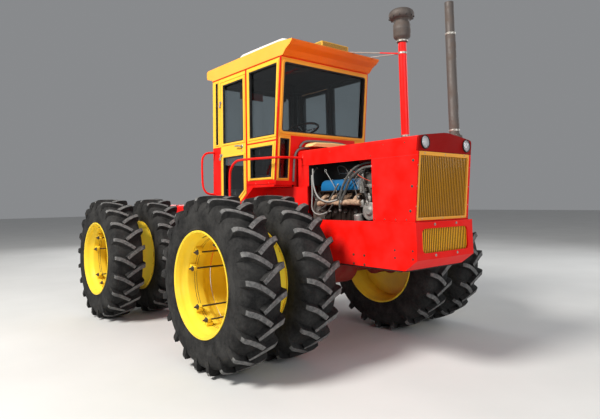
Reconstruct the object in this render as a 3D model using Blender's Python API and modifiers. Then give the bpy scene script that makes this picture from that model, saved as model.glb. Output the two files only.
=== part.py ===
"""Articulated four-wheel-drive farm tractor with a cab and dual wheels at every corner.

The tractor faces -Y and its left side is +X. Every length is in metres. Pieces are given in a
frame whose Y starts at the front axle, and the empty "tractor" moves that frame so that the
origin is below the middle of the whole machine, on the ground.
"""

import math

import bmesh
import bpy
from mathutils import Matrix, Vector

# Wheels and axles
AXLE_HEIGHT = 0.84
WHEELBASE = 2.98
TYRE_RADIUS = 0.84
SHOULDER_RADIUS = 0.785
TYRE_HALF_WIDTH = 0.215
LIP_RADIUS = 0.508
SEAT_RADIUS = 0.4832
RIM_HALF_WIDTH = 0.205
INNER_WHEEL_X = 0.94
DUAL_SPACING = 0.67
WHEEL_SIDES = 20
RUNNING_GAP = 0.006

# Front frame and bodywork
FRAME_HALF = 0.461
FRAME_PLATE = 0.016
FRAME_TOP = 1.407
FRAME_BOTTOM = 0.966
BUMPER_Y = -1.475
HOOD_HALF = 0.435
HOOD_SEAM = 2.012
HOOD_EDGE = 2.192
HOOD_RIDGE = 2.237
HOOD_REAR_Y = 0.125
SHEET = 0.006
NOSE_TOP_Y = -1.521
NOSE_LEAN = 0.0968
LAMP_FRONT_Y = -1.545
LAMP_X = 0.345
LAMP_Z = 2.13
LAMP_RADIUS = 0.064
BAY_FRONT_Y = -0.965
BAY_REAR_Y = -0.052

# Cab
CAB_HALF = 0.7275
WALL = 0.027
CAB_REAR_Y = 1.52
CAB_TOP = 3.2497
CAB_SILL = 1.80
CAB_FLOOR = 1.40
WINDSCREEN_TOP_Y = 0.043
WINDSCREEN_TOP_Z = 3.238
WINDSCREEN_LEAN = 0.098
DOOR_FRONT_Y = 0.757
DOOR_REAR_Y = 1.32
DOOR_GAP = 0.007
ROOF_TOP = 3.42
RAIL_RADIUS = 0.014

# Articulation
PIVOT_Y = WHEELBASE / 2
CYLINDER_X = 0.36
CYLINDER_Z = 0.83
CYLINDER_LUG_TOP = 0.77
BARREL_Y = 0.62
BARREL_LENGTH = 0.55
EYE_Y = PIVOT_Y + 0.10
YOKE_ARM_TOP = 0.78
TRUNNION_Z = 0.86
REAR_FRAME_Y = 1.85

TOUCH = 0.0003  # the gap left between two pieces that rest on each other

# The machine's ends: the lamps in front, the back of the rear tyres behind
FRONT_END = LAMP_FRONT_Y
REAR_END = WHEELBASE + TYRE_RADIUS


def clear_scene():
    for old in list(bpy.data.objects):
        bpy.data.objects.remove(old, do_unlink=True)


def collection(name):
    made = bpy.data.collections.new(name)
    bpy.context.scene.collection.children.link(made)
    return made


def paint(name, colour, roughness, metallic=0.0):
    made = bpy.data.materials.new(name)
    made.use_nodes = True
    shader = made.node_tree.nodes["Principled BSDF"]
    shader.inputs["Base Color"].default_value = (*colour, 1.0)
    shader.inputs["Roughness"].default_value = roughness
    shader.inputs["Metallic"].default_value = metallic
    return made


clear_scene()
PARTS = collection("tractor_parts")
TOOLS = collection("construction_shapes")

RED = paint("body_red", (0.62, 0.012, 0.008), 0.45)
DARK_RED = paint("nose_red", (0.33, 0.008, 0.008), 0.45)
WINDOW_YELLOW = paint("window_yellow", (0.86, 0.52, 0.06), 0.5)
ROOF_ORANGE = paint("roof_orange", (0.82, 0.26, 0.03), 0.5)
GRILLE_GOLD = paint("grille_gold", (0.62, 0.36, 0.03), 0.45)
RIM_YELLOW = paint("rim_yellow", (0.80, 0.50, 0.02), 0.45)
RUBBER = paint("rubber", (0.035, 0.035, 0.037), 0.85)
GLASS = paint("glass", (0.10, 0.13, 0.14), 0.08)
BLACK = paint("black_paint", (0.02, 0.02, 0.022), 0.6)
STACK_GREY = paint("stack_grey", (0.25, 0.22, 0.20), 0.7, 0.4)
CAST_IRON = paint("cast_iron", (0.09, 0.085, 0.08), 0.7, 0.5)
STEEL = paint("bright_steel", (0.55, 0.55, 0.57), 0.3, 1.0)
WHITE = paint("roof_white", (0.75, 0.75, 0.73), 0.6)
VINYL = paint("seat_vinyl", (0.03, 0.03, 0.03), 0.7)


# ---------------------------------------------------------------- tools


def empty(name, location, parent=None):
    """An empty on a joint's axis. Its location is in the tractor's own frame."""
    made = bpy.data.objects.new(name, None)
    made.location = location
    made.parent = parent
    PARTS.objects.link(made)
    return made


TRACTOR = empty("tractor", (0.0, -(FRONT_END + REAR_END) / 2, 0.0))


def add(name, mesh, material, pivot, tool=False):
    """A new object from a mesh given in the tractor's frame, with its origin at the pivot."""
    made = bpy.data.objects.new(name, mesh)
    mesh.materials.append(material)
    if pivot is None:
        made.parent = TRACTOR
    else:
        mesh.transform(Matrix.Translation(-pivot.location))
        made.parent = pivot
    if tool:
        TOOLS.objects.link(made)
        made.hide_render = True
        made.display_type = "WIRE"
    else:
        PARTS.objects.link(made)
    return made


def mesh_from(bm, name):
    bmesh.ops.recalc_face_normals(bm, faces=bm.faces)
    mesh = bpy.data.meshes.new(name)
    bm.to_mesh(mesh)
    bm.free()
    return mesh


def box(name, low, high, material, pivot=None, tool=False):
    low, high = Vector(low), Vector(high)
    bm = bmesh.new()
    bmesh.ops.create_cube(bm, size=1.0)
    size = Matrix.Diagonal((*(high - low), 1.0))
    bmesh.ops.transform(bm, matrix=Matrix.Translation((low + high) / 2) @ size, verts=bm.verts)
    return add(name, mesh_from(bm, name), material, pivot, tool)


def along(start, end):
    """The matrix that carries the Z axis at the origin to the line from start to end."""
    start, end = Vector(start), Vector(end)
    turn = Vector((0, 0, 1)).rotation_difference(end - start).to_matrix().to_4x4()
    return Matrix.Translation(start) @ turn


def rod(name, start, end, radius, material, pivot=None, tool=False, sides=16, end_radius=None):
    length = (Vector(end) - Vector(start)).length
    bm = bmesh.new()
    bmesh.ops.create_cone(
        bm,
        cap_ends=True,
        segments=sides,
        radius1=radius,
        radius2=radius if end_radius is None else end_radius,
        depth=length,
        matrix=Matrix.Translation((0, 0, length / 2)),
    )
    bmesh.ops.transform(bm, matrix=along(start, end), verts=bm.verts)
    mesh = mesh_from(bm, name)
    mesh.shade_smooth()
    mesh.set_sharp_from_angle(angle=math.radians(40))
    return add(name, mesh, material, pivot, tool)


def beam(name, start, end, width, height, material, pivot=None, tool=False):
    """A bar of rectangular section from start to end, its height standing as near +Z as it can."""
    start, end = Vector(start), Vector(end)
    forward = (end - start).normalized()
    side = forward.cross(Vector((0, 0, 1))).normalized()
    up = side.cross(forward)
    turn = Matrix((side, forward, up)).transposed().to_4x4()
    size = Matrix.Diagonal((width, (end - start).length, height, 1.0))
    bm = bmesh.new()
    bmesh.ops.create_cube(bm, size=1.0)
    place = Matrix.Translation((start + end) / 2) @ turn @ size
    bmesh.ops.transform(bm, matrix=place, verts=bm.verts)
    return add(name, mesh_from(bm, name), material, pivot, tool)


def solid_of_curve(curve_object, name):
    """The closed mesh of a curve object, with its caps welded on. The curve is removed."""
    PARTS.objects.link(curve_object)
    evaluated = curve_object.evaluated_get(bpy.context.evaluated_depsgraph_get())
    mesh = bpy.data.meshes.new_from_object(evaluated)
    mesh.name = name
    bm = bmesh.new()
    bm.from_mesh(mesh)
    bmesh.ops.remove_doubles(bm, verts=bm.verts, dist=0.00001)
    bmesh.ops.recalc_face_normals(bm, faces=bm.faces)
    bm.to_mesh(mesh)
    bm.free()
    bpy.data.objects.remove(curve_object, do_unlink=True)
    return mesh


FACING = {
    "X": Matrix(((0, 0, 1, 0), (1, 0, 0, 0), (0, 1, 0, 0), (0, 0, 0, 1))),
    "Y": Matrix(((1, 0, 0, 0), (0, 0, -1, 0), (0, 1, 0, 0), (0, 0, 0, 1))),
    "Z": Matrix.Identity(4),
}
AXIS = {"X": Vector((1, 0, 0)), "Y": Vector((0, 1, 0)), "Z": Vector((0, 0, 1))}


def slab_mesh(name, axis, low, high, outline, holes=()):
    """A flat outline with its holes, extruded from low to high along an axis.

    The outline's points are (y, z) along X, (x, z) along Y and (x, y) along Z.
    """
    curve = bpy.data.curves.new(name, "CURVE")
    curve.dimensions = "2D"
    curve.fill_mode = "BOTH"
    curve.extrude = (high - low) / 2
    for ring in (outline, *holes):
        spline = curve.splines.new("POLY")
        spline.points.add(len(ring) - 1)
        for point, (u, v) in zip(spline.points, ring):
            point.co = (u, v, 0.0, 1.0)
        spline.use_cyclic_u = True
    mesh = solid_of_curve(bpy.data.objects.new(name, curve), name)
    mesh.transform(Matrix.Translation(AXIS[axis] * (low + high) / 2) @ FACING[axis])
    return mesh


def slab(name, axis, low, high, outline, material, holes=(), pivot=None, tool=False):
    return add(name, slab_mesh(name, axis, low, high, outline, holes), material, pivot, tool)


def smoothed(points, steps=4):
    """Points along a smooth curve through the given ones."""
    points = [Vector(p) for p in points]
    ends = [2 * points[0] - points[1], *points, 2 * points[-1] - points[-2]]
    line = []
    for a, b, c, d in zip(ends, ends[1:], ends[2:], ends[3:]):
        for step in range(steps):
            t = step / steps
            bend = (2 * a - 5 * b + 4 * c - d) * t * t + (3 * b - a - 3 * c + d) * t**3
            line.append((2 * b + (c - a) * t + bend) / 2)
    return line + [points[-1]]


def tube(name, points, radius, material, pivot=None, tool=False):
    """A round tube through the points, as a closed mesh with flat ends."""
    curve = bpy.data.curves.new(name, "CURVE")
    curve.dimensions = "3D"
    curve.bevel_depth = radius
    curve.bevel_resolution = 2
    curve.use_fill_caps = True
    spline = curve.splines.new("POLY")
    spline.points.add(len(points) - 1)
    for point, where in zip(spline.points, points):
        point.co = (*where, 1.0)
    mesh = solid_of_curve(bpy.data.objects.new(name, curve), name)
    mesh.shade_smooth()
    mesh.set_sharp_from_angle(angle=math.radians(50))
    return add(name, mesh, material, pivot, tool)


def turned(name, profile, start, end, material, pivot=None, tool=False, sides=16, closed=False):
    """A turned shape about the line from start towards end.

    The profile's points are (radius, height above start) and run down the outer side.
    """
    mesh = bpy.data.meshes.new(name)
    count = len(profile)
    edges = [(i, i + 1) for i in range(count - 1)]
    if closed:
        edges.append((count - 1, 0))
    mesh.from_pydata([(r, 0.0, h) for r, h in profile], edges, [])
    mesh.materials.append(material)
    made = bpy.data.objects.new(name, mesh)
    half_side = Matrix.Rotation(math.pi / sides, 4, "Z")
    local = along(start, end) @ half_side
    if pivot is None:
        made.parent = TRACTOR
    else:
        local = Matrix.Translation(-pivot.location) @ local
        made.parent = pivot
    made.matrix_local = local
    screw = made.modifiers.new("turn", "SCREW")
    screw.steps = screw.render_steps = sides
    screw.use_merge_vertices = True
    screw.merge_threshold = 0.0001
    screw.use_smooth_shade = True
    if tool:
        TOOLS.objects.link(made)
        made.hide_render = True
        made.display_type = "WIRE"
    else:
        PARTS.objects.link(made)
    return made


def combine(base, operation, pieces):
    for piece in pieces:
        step = base.modifiers.new(operation.lower(), "BOOLEAN")
        step.operation = operation
        step.object = piece
        step.solver = "EXACT"
    return base


def join(base, *pieces):
    return combine(base, "UNION", pieces)


def cut(base, *pieces):
    return combine(base, "DIFFERENCE", pieces)


def rectangle(u0, v0, u1, v1, radius=0.0, steps=3):
    """A rectangle's corner points, anticlockwise, with its corners rounded by arcs."""
    if not radius:
        return [(u0, v0), (u1, v0), (u1, v1), (u0, v1)]
    centres = ((u1 - radius, v1 - radius), (u0 + radius, v1 - radius))
    centres += ((u0 + radius, v0 + radius), (u1 - radius, v0 + radius))
    points = []
    for quarter, (u, v) in enumerate(centres):
        for step in range(steps + 1):
            angle = math.radians(90 * (quarter + step / steps))
            points.append((u + radius * math.cos(angle), v + radius * math.sin(angle)))
    return points


def circle(u, v, radius, sides=16):
    turns = [2 * math.pi * i / sides for i in range(sides)]
    return [(u + radius * math.cos(a), v + radius * math.sin(a)) for a in turns]


def mirrored(low, high, side):
    """Two X limits given for the left side, on the side asked for and in order."""
    return (low, high) if side > 0 else (-high, -low)


SIDES = (("right", -1), ("left", 1))


# ---------------------------------------------------------------- front frame


def nose_y(z):
    """Where the leaning nose plane stands at a height. Its top is further forward."""
    return NOSE_TOP_Y - NOSE_LEAN * (z - HOOD_EDGE)


def lean_front(made, behind):
    """Shears the vertices in front of a Y so that they follow the nose plane."""
    for vertex in made.data.vertices:
        if vertex.co.y < behind:
            vertex.co.y += nose_y(vertex.co.z) - NOSE_TOP_Y
    return made


def front_frame():
    belly_front_y = -1.342
    chamfer_z = 1.067
    cowl_top = 1.775
    hinge_z = (0.60, 1.13)
    outline = [
        (BUMPER_Y, FRAME_TOP),
        (BUMPER_Y, chamfer_z),
        (belly_front_y, FRAME_BOTTOM),
        (0.30, FRAME_BOTTOM),
        (0.42, 0.66),
        (1.25, 0.66),
        (1.25, 1.37),
        (0.95, 1.37),
        (0.95, cowl_top),
        (BAY_REAR_Y, cowl_top),
        (BAY_REAR_Y, FRAME_TOP),
    ]
    inner = FRAME_HALF - FRAME_PLATE
    frame = slab("front_frame", "X", *mirrored(inner, FRAME_HALF, -1), outline, RED)
    far_plate = slab("frame_plate", "X", inner, FRAME_HALF, outline, RED, tool=True)
    window = rectangle(-0.37, 1.125, 0.37, 1.345, 0.04)
    face = rectangle(-FRAME_HALF, chamfer_z, FRAME_HALF, FRAME_TOP)
    bumper_back = BUMPER_Y + FRAME_PLATE
    bumper = slab("bumper", "Y", BUMPER_Y, bumper_back, face, RED, (window,), tool=True)
    lower_corner = [
        (BUMPER_Y, chamfer_z),
        (belly_front_y, FRAME_BOTTOM),
        (-0.40, FRAME_BOTTOM),
        (-0.40, FRAME_BOTTOM + FRAME_PLATE),
        (belly_front_y + 0.005, FRAME_BOTTOM + FRAME_PLATE),
        (bumper_back, chamfer_z + 0.008),
    ]
    belly = slab("belly", "X", -FRAME_HALF, FRAME_HALF, lower_corner, RED, tool=True)
    half = inner + 0.004
    top_tie = box("top_tie", (-half, 1.02, 1.30), (half, 1.25, 1.37), RED, tool=True)
    low_tie = box("low_tie", (-half, 1.02, 0.66), (half, 1.25, 0.69), RED, tool=True)
    post = box("hinge_post", (-0.26, 1.08, 0.60), (0.26, 1.15, 1.31), RED, tool=True)
    pieces = [far_plate, bumper, belly, top_tie, low_tie, post]
    ear = [(-0.24, 1.10), (0.24, 1.10), (0.12, 1.56), (-0.12, 1.56)]
    for z in hinge_z:
        hole = circle(0, PIVOT_Y, 0.048)
        pieces.append(slab("hinge_ear", "Z", z, z + 0.03, ear, RED, (hole,), tool=True))
    for _, side in SIDES:
        low, high = mirrored(CYLINDER_X - 0.05, half, side)
        lug_low = (low, BARREL_Y - 0.07, CYLINDER_LUG_TOP - 0.03)
        lug_high = (high, BARREL_Y + 0.06, CYLINDER_LUG_TOP)
        pieces.append(box("cylinder_lug", lug_low, lug_high, RED, tool=True))
        for z in (0.66, 1.0):
            low, high = mirrored(FRAME_HALF - 0.004, 0.86, side)
            pieces.append(box("tread", (low, 0.97, z), (high, 1.24, z + 0.03), RED, tool=True))
        low, high = mirrored(0.835, 0.86, side)
        pieces.append(box("step_side", (low, 0.97, 0.66), (high, 1.24, 1.03), RED, tool=True))
    return join(frame, *pieces)


def front_axle():
    axle = axle_beam("front_axle", 0.0)
    for _, side in SIDES:
        low, high = mirrored(0.38, 0.50, side)
        top = FRAME_BOTTOM - TOUCH
        join(axle, box("axle_pad", (low, -0.12, AXLE_HEIGHT), (high, 0.12, top), RED, tool=True))


def axle_beam(name, y, pivot=None):
    """A driven beam axle: differential drum, tapered housings and wheel flanges."""
    half = ((0.150, 0.70), (0.150, 0.665), (0.085, 0.64), (0.085, 0.32), (0.185, 0.17))
    profile = [(0.0, 0.70), *half]
    profile += [(r, -h) for r, h in reversed(half)]
    profile.append((0.0, -0.70))
    centre = (0.0, y, AXLE_HEIGHT)
    return turned(name, profile, centre, (1.0, y, AXLE_HEIGHT), DARK_RED, pivot)


def drive_line():
    engine = box("engine_block", (-0.28, -0.90, 1.04), (0.28, -0.02, 1.78), BLACK)
    for _, side in SIDES:
        for y in (-0.78, -0.14):
            low, high = mirrored(0.27, FRAME_HALF - FRAME_PLATE - TOUCH, side)
            mount = box("engine_mount", (low, y - 0.06, 1.10), (high, y + 0.06, 1.17), BLACK, tool=True)
            join(engine, mount)
    gearbox = box("gearbox", (-0.20, -0.02 + TOUCH, 1.06), (0.20, 0.80, 1.34), CAST_IRON)
    drop = box("drop_box", (-0.16, 0.45, 0.64), (0.16, 0.78, 1.10), CAST_IRON, tool=True)
    front_shaft = rod("front_shaft", (0, 0.50, 0.84), (0, 0.21, 0.84), 0.04, CAST_IRON, tool=True)
    rear_shaft = rod("rear_shaft", (0, 0.70, 0.88), (0, 1.07, 0.88), 0.04, CAST_IRON, tool=True)
    join(gearbox, drop, front_shaft, rear_shaft)


# ---------------------------------------------------------------- bodywork


def hood():
    inner = HOOD_HALF - SHEET
    outline = [
        (-HOOD_HALF, HOOD_SEAM),
        (-inner, HOOD_SEAM),
        (-inner, HOOD_EDGE - SHEET),
        (0.0, HOOD_RIDGE - SHEET),
        (inner, HOOD_EDGE - SHEET),
        (inner, HOOD_SEAM),
        (HOOD_HALF, HOOD_SEAM),
        (HOOD_HALF, HOOD_EDGE),
        (0.0, HOOD_RIDGE),
        (-HOOD_HALF, HOOD_EDGE),
    ]
    front = NOSE_TOP_Y + 0.02 + TOUCH
    top = lean_front(slab("hood", "Y", front, HOOD_REAR_Y, outline, RED), -1.0)
    for _, side in SIDES:
        low, high = mirrored(inner, HOOD_HALF, side)
        skirt = box("skirt", (low, BAY_REAR_Y, 1.7757), (high, HOOD_REAR_Y, 2.03), RED, tool=True)
        join(top, skirt)


def nose():
    top = [(-HOOD_HALF, 2.047), (HOOD_HALF, 2.047), (HOOD_HALF, HOOD_EDGE)]
    top += [(0.0, HOOD_RIDGE), (-HOOD_HALF, HOOD_EDGE)]
    holes = [circle(x, LAMP_Z, LAMP_RADIUS + 0.002) for x in (-LAMP_X, LAMP_X)]
    front = NOSE_TOP_Y
    panel = slab("nose_panel", "Y", front, front + 0.02, top, DARK_RED, holes)
    lean_front(panel, 0.0)
    face = rectangle(-0.425, FRAME_TOP + TOUCH, 0.425, 2.047 - TOUCH)
    lean_front(slab("grille", "Y", front, front + 0.03, face, GRILLE_GOLD), 0.0)
    lower = rectangle(-0.40, 1.10, 0.40, 1.37)
    back = BUMPER_Y + FRAME_PLATE + TOUCH
    slab("lower_grille", "Y", back, back + 0.02, lower, GRILLE_GOLD)
    lamps = box("headlights", (-LAMP_X, -1.485, 2.115), (LAMP_X, -1.465, 2.145), BLACK)
    for x in (-LAMP_X, LAMP_X):
        start, end = (x, -1.46, LAMP_Z), (x, LAMP_FRONT_Y, LAMP_Z)
        join(lamps, rod("lamp", start, end, LAMP_RADIUS, STEEL, tool=True))
    for name, side in SIDES:
        low, high = mirrored(HOOD_HALF - SHEET, HOOD_HALF, side)
        base, seam = FRAME_TOP + TOUCH, HOOD_SEAM - TOUCH
        outline = [(nose_y(base), base), (BAY_FRONT_Y, base), (BAY_FRONT_Y, seam), (nose_y(seam), seam)]
        slab("side_panel_" + name, "X", low, high, outline, RED)


def stacks():
    # The exhaust stands on the left slope of the hood, near the nose.
    x, y = 0.30, -1.42
    base = HOOD_RIDGE - (HOOD_RIDGE - HOOD_EDGE) * (x - 0.075) / HOOD_HALF + TOUCH
    exhaust = [
        (0.0, 1.18),
        (0.040, 1.18),
        (0.040, 3.61 - base),
        (0.045, 3.61 - base),
        (0.045, 1.08),
        (0.050, 1.08),
        (0.050, 0.03),
        (0.075, 0.03),
        (0.075, 0.0),
        (0.0, 0.0),
    ]
    turned("exhaust_stack", exhaust, (x, y, base), (x, y, 3.0), STACK_GREY)
    # The intake pipe stands behind it, a little left of the ridge, and carries the precleaner.
    x, y = 0.10, -0.98
    base = HOOD_RIDGE - (HOOD_RIDGE - HOOD_EDGE) * (x - 0.06) / HOOD_HALF + TOUCH
    neck = 3.27
    pipe = rod("intake_pipe", (x, y, base), (x, y, neck), 0.043, RED)
    for roof_x in (0.27, 0.66):
        foot = (roof_x, -0.06, ROOF_TOP + 0.012)
        bar = beam("stay", foot, (x, y + 0.02, 3.16), 0.035, 0.01, STACK_GREY, tool=True)
        join(pipe, bar)
    bowl = [
        (0.0, 0.37),
        (0.075, 0.365),
        (0.125, 0.335),
        (0.133, 0.29),
        (0.120, 0.255),
        (0.080, 0.235),
        (0.080, 0.20),
        (0.090, 0.19),
        (0.090, 0.06),
        (0.055, 0.0),
        (0.0, 0.0),
    ]
    low = neck + TOUCH
    turned("precleaner", bowl, (x, y, low), (x, y, low + 1), STACK_GREY)


# ---------------------------------------------------------------- cab


def windscreen_y(z):
    return WINDSCREEN_TOP_Y + WINDSCREEN_LEAN * (WINDSCREEN_TOP_Z - z)


def lean_cab(made):
    """Leans a slab that was built against Y = 0 into the plane of the cab's front."""
    for vertex in made.data.vertices:
        vertex.co.y += windscreen_y(vertex.co.z)
    return made


ARCH = ((0.21, CAB_SILL), (0.624, CAB_SILL), (1.15, 1.417))


def arch_z(y):
    """The height of the wheel arch's rear slope."""
    (y0, z0), (y1, z1) = ARCH[1], ARCH[2]
    return z0 + (z1 - z0) * (y - y0) / (y1 - y0)


def cab_front():
    middle = FRAME_HALF - FRAME_PLATE - TOUCH
    outline = [
        (-middle, CAB_FLOOR + TOUCH),
        (middle, CAB_FLOOR + TOUCH),
        (middle, CAB_SILL),
        (CAB_HALF, CAB_SILL),
        (CAB_HALF, CAB_TOP),
        (-CAB_HALF, CAB_TOP),
        (-CAB_HALF, CAB_SILL),
        (-middle, CAB_SILL),
    ]
    holes = [rectangle(-0.675, 2.405, 0.675, 3.19, 0.03)]
    for _, side in SIDES:
        low, high = mirrored(0.555, 0.69, side)
        holes.append(rectangle(low, 1.876, high, 2.327))
    lean_cab(slab("cab_front_wall", "Y", 0.0, WALL, outline, WINDOW_YELLOW, holes))
    pane = [
        (-0.70, 1.84),
        (-0.54, 1.84),
        (-0.54, 2.36),
        (0.54, 2.36),
        (0.54, 1.84),
        (0.70, 1.84),
        (0.70, 3.22),
        (-0.70, 3.22),
    ]
    lean_cab(slab("windscreen", "Y", WALL + TOUCH, WALL + 0.006, pane, GLASS))


def cab_sides():
    front_gap = WALL + 0.0008
    for name, side in SIDES:
        low, high = mirrored(CAB_HALF - WALL, CAB_HALF, side)
        front_post_y = DOOR_FRONT_Y - DOOR_GAP
        rear_post_y = DOOR_REAR_Y + DOOR_GAP
        top_rail = 3.192
        outline = [
            (windscreen_y(CAB_TOP) + front_gap, CAB_TOP),
            (windscreen_y(CAB_SILL) + front_gap, CAB_SILL + 0.0003),
            (ARCH[1][0], CAB_SILL + 0.0003),
            (front_post_y, arch_z(front_post_y) + 0.0003),
            (front_post_y, top_rail),
            (rear_post_y, top_rail),
            (rear_post_y, CAB_FLOOR - 0.02),
            (CAB_REAR_Y, CAB_FLOOR - 0.02),
            (CAB_REAR_Y, CAB_TOP),
        ]
        upper = [(0.178, 2.37), (0.665, 2.37), (0.665, 3.185), (0.115, 3.185)]
        lower = [(0.252, 1.89), (0.66, 1.89), (0.66, 2.255), (0.215, 2.255)]
        quarter = rectangle(1.381, 2.37, 1.44, 3.20)
        holes = (upper, lower, quarter)
        wall = slab("cab_side_" + name, "X", low, high, outline, WINDOW_YELLOW, holes)
        hoop = [(0.71, 1.475, 2.272), (0.82, 1.49, 2.268), (0.88, 1.50, 2.235), (0.905, 1.51, 2.15)]
        hoop += [(0.905, 1.50, 1.87), (0.885, 1.49, 1.775), (0.83, 1.475, 1.725), (0.71, 1.465, 1.715)]
        hoop = smoothed([(side * x, y, z) for x, y, z in hoop])
        join(wall, tube("grab_hoop", hoop, RAIL_RADIUS, RED, tool=True))
        inner = CAB_HALF - WALL
        low, high = mirrored(inner - 0.005, inner - TOUCH, side)
        pane = [(0.29, 1.86), (0.69, 1.86), (0.69, 3.22), (0.155, 3.22)]
        slab("side_glass_" + name, "X", low, high, pane, GLASS)


def cab_rear():
    half = CAB_HALF - WALL - TOUCH
    face = rectangle(-half, CAB_FLOOR - 0.02, half, CAB_TOP)
    window = rectangle(-0.62, 2.10, 0.62, 3.17, 0.03)
    front = CAB_REAR_Y - WALL
    slab("cab_rear_wall", "Y", front, CAB_REAR_Y, face, WINDOW_YELLOW, (window,))
    # One bent pane closes the rear window and both narrow quarter windows.
    inner = CAB_HALF - WALL
    plan = [
        (-inner + TOUCH, 1.365),
        (-inner + 0.005, 1.365),
        (-inner + 0.005, front - 0.006),
        (inner - 0.005, front - 0.006),
        (inner - 0.005, 1.365),
        (inner - TOUCH, 1.365),
        (inner - TOUCH, front - TOUCH),
        (-inner + TOUCH, front - TOUCH),
    ]
    slab("rear_glass", "Z", 2.07, 3.215, plan, GLASS)


def cab_floor_and_fenders():
    narrow = FRAME_HALF - FRAME_PLATE - TOUCH
    wide = CAB_HALF - WALL - TOUCH
    front_y = windscreen_y(CAB_FLOOR) + 0.001
    step_y = 0.951
    back_y = CAB_REAR_Y - WALL - TOUCH
    plan = [
        (-narrow, front_y),
        (narrow, front_y),
        (narrow, step_y),
        (wide, step_y),
        (wide, back_y),
        (-wide, back_y),
        (-wide, step_y),
        (-narrow, step_y),
    ]
    slab("cab_floor", "Z", CAB_FLOOR - 0.02, CAB_FLOOR, plan, RED)
    thick = 0.02
    for name, side in SIDES:
        low, high = mirrored(FRAME_HALF + TOUCH, CAB_HALF, side)
        (y0, z0), (y1, z1), (y2, z2) = ARCH
        outline = [(y0, z0), (y1, z1), (y2, z2), (y2, z2 - thick + 0.004)]
        outline += [(y2 - 0.03, z2 - thick + 0.004), (y1 - 0.012, z1 - thick), (y0, z0 - thick)]
        slab("fender_" + name, "X", low, high, outline, RED)


def doors():
    """Each door hangs on the post behind it and swings out and back."""
    hinge_y = DOOR_REAR_Y + DOOR_GAP / 2
    top, bottom = 3.185, CAB_FLOOR + 0.03
    cut_y = 1.10
    for name, side in SIDES:
        pivot = empty("hinge_of_door_" + name, (side * (CAB_HALF + 0.012), hinge_y, 0.0), TRACTOR)
        low, high = mirrored(CAB_HALF - WALL, CAB_HALF, side)
        slope = DOOR_GAP + 0.003
        outline = [
            (DOOR_FRONT_Y, arch_z(DOOR_FRONT_Y) + slope),
            (cut_y, arch_z(cut_y) + slope),
            (cut_y + 0.05, bottom),
            (DOOR_REAR_Y, bottom),
            (DOOR_REAR_Y, top),
            (DOOR_FRONT_Y, top),
        ]
        upper = rectangle(0.797, 2.37, 1.265, 3.145)
        lower = [(0.797, 1.76), (1.11, 1.53), (1.265, 1.53), (1.265, 2.19), (0.797, 2.19)]
        slab("door_" + name, "X", low, high, outline, WINDOW_YELLOW, (upper, lower), pivot)
        inner = CAB_HALF - WALL
        low, high = mirrored(inner - 0.005, inner - TOUCH, side)
        pane = [(0.78, 1.79), (1.10, 1.51), (1.28, 1.51), (1.28, 3.165), (0.78, 3.165)]
        slab("door_glass_" + name, "X", low, high, pane, GLASS, (), pivot)


def roof():
    outline = [
        (0.015, CAB_TOP + TOUCH),
        (1.525, CAB_TOP + TOUCH),
        (1.56, 3.275),
        (1.66, 3.30),
        (1.676, 3.33),
        (1.676, 3.40),
        (1.64, ROOF_TOP),
        (0.10, ROOF_TOP),
        (-0.148, 3.397),
        (-0.148, 3.38),
        (-0.112, 3.345),
        (-0.04, 3.308),
    ]
    shell = slab("cab_roof", "X", -CAB_HALF, CAB_HALF, outline, ROOF_ORANGE)
    recess = box("ceiling", (-0.69, 0.09, 3.20), (0.69, 1.48, 3.38), ROOF_ORANGE, tool=True)
    cut(shell, recess)
    cap = [(0.15, 3.49), (0.22, 3.54), (1.09, 3.545), (1.17, 3.49)]
    cap += [(1.17, ROOF_TOP + TOUCH), (0.15, ROOF_TOP + TOUCH)]
    slab("roof_cap", "X", -0.55, 0.55, cap, WHITE)
    box("roof_vent_box", (0.09, 0.22, 3.5456), (0.56, 0.39, 3.625), WINDOW_YELLOW)


def seat_and_steering():
    box("seat_pedestal", (-0.16, 1.02, CAB_FLOOR + TOUCH), (0.16, 1.32, 1.86), BLACK)
    cushion = [(0.90, 1.86 + TOUCH), (1.44, 1.86 + TOUCH), (1.455, 2.46), (1.36, 2.48)]
    cushion += [(1.32, 2.0), (0.90, 1.98)]
    slab("seat", "X", -0.25, 0.25, cushion, VINYL)
    console = box("steering_column", (-0.15, 0.28, CAB_FLOOR + TOUCH), (0.15, 0.46, 2.05), BLACK)
    foot, hub = Vector((0.0, 0.36, 2.0)), Vector((0.0, 0.52, 2.52))
    join(console, rod("column", foot, hub, 0.03, BLACK, tool=True, sides=12))
    axis = (hub - foot).normalized()
    section = circle(0.20, 0.0, 0.014, 8)
    ring = turned("rim", section[::-1], hub, hub + axis, BLACK, tool=True, sides=20, closed=True)
    join(console, ring)
    across = Vector((1.0, 0.0, 0.0))
    rear = axis.cross(across)
    for turn in (90, 210, 330):
        way = across * math.cos(math.radians(turn)) + rear * math.sin(math.radians(turn))
        tip = hub + way * 0.198
        join(console, rod("spoke", hub - axis * 0.005, tip, 0.009, BLACK, tool=True, sides=8))


def handrails():
    """A rail from the hood's side, round the cab's front corner, then down beside the door."""
    path = [
        (0.4435, 0.05, 2.105),
        (0.69, 0.05, 2.10),
        (0.765, 0.08, 2.10),
        (0.81, 0.16, 2.10),
        (0.945, 0.52, 2.098),
        (0.968, 0.63, 2.075),
        (0.978, 0.70, 2.01),
        (0.98, 0.732, 1.90),
        (0.98, 0.735, 1.47),
        (0.972, 0.757, 1.405),
        (0.94, 0.80, 1.385),
        (0.745, 0.985, 1.385),
    ]
    for name, side in SIDES:
        points = smoothed([(side * x, y, z) for x, y, z in path])
        tube("handrail_" + name, points, RAIL_RADIUS, RED)


# ---------------------------------------------------------------- articulation and rear half


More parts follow.
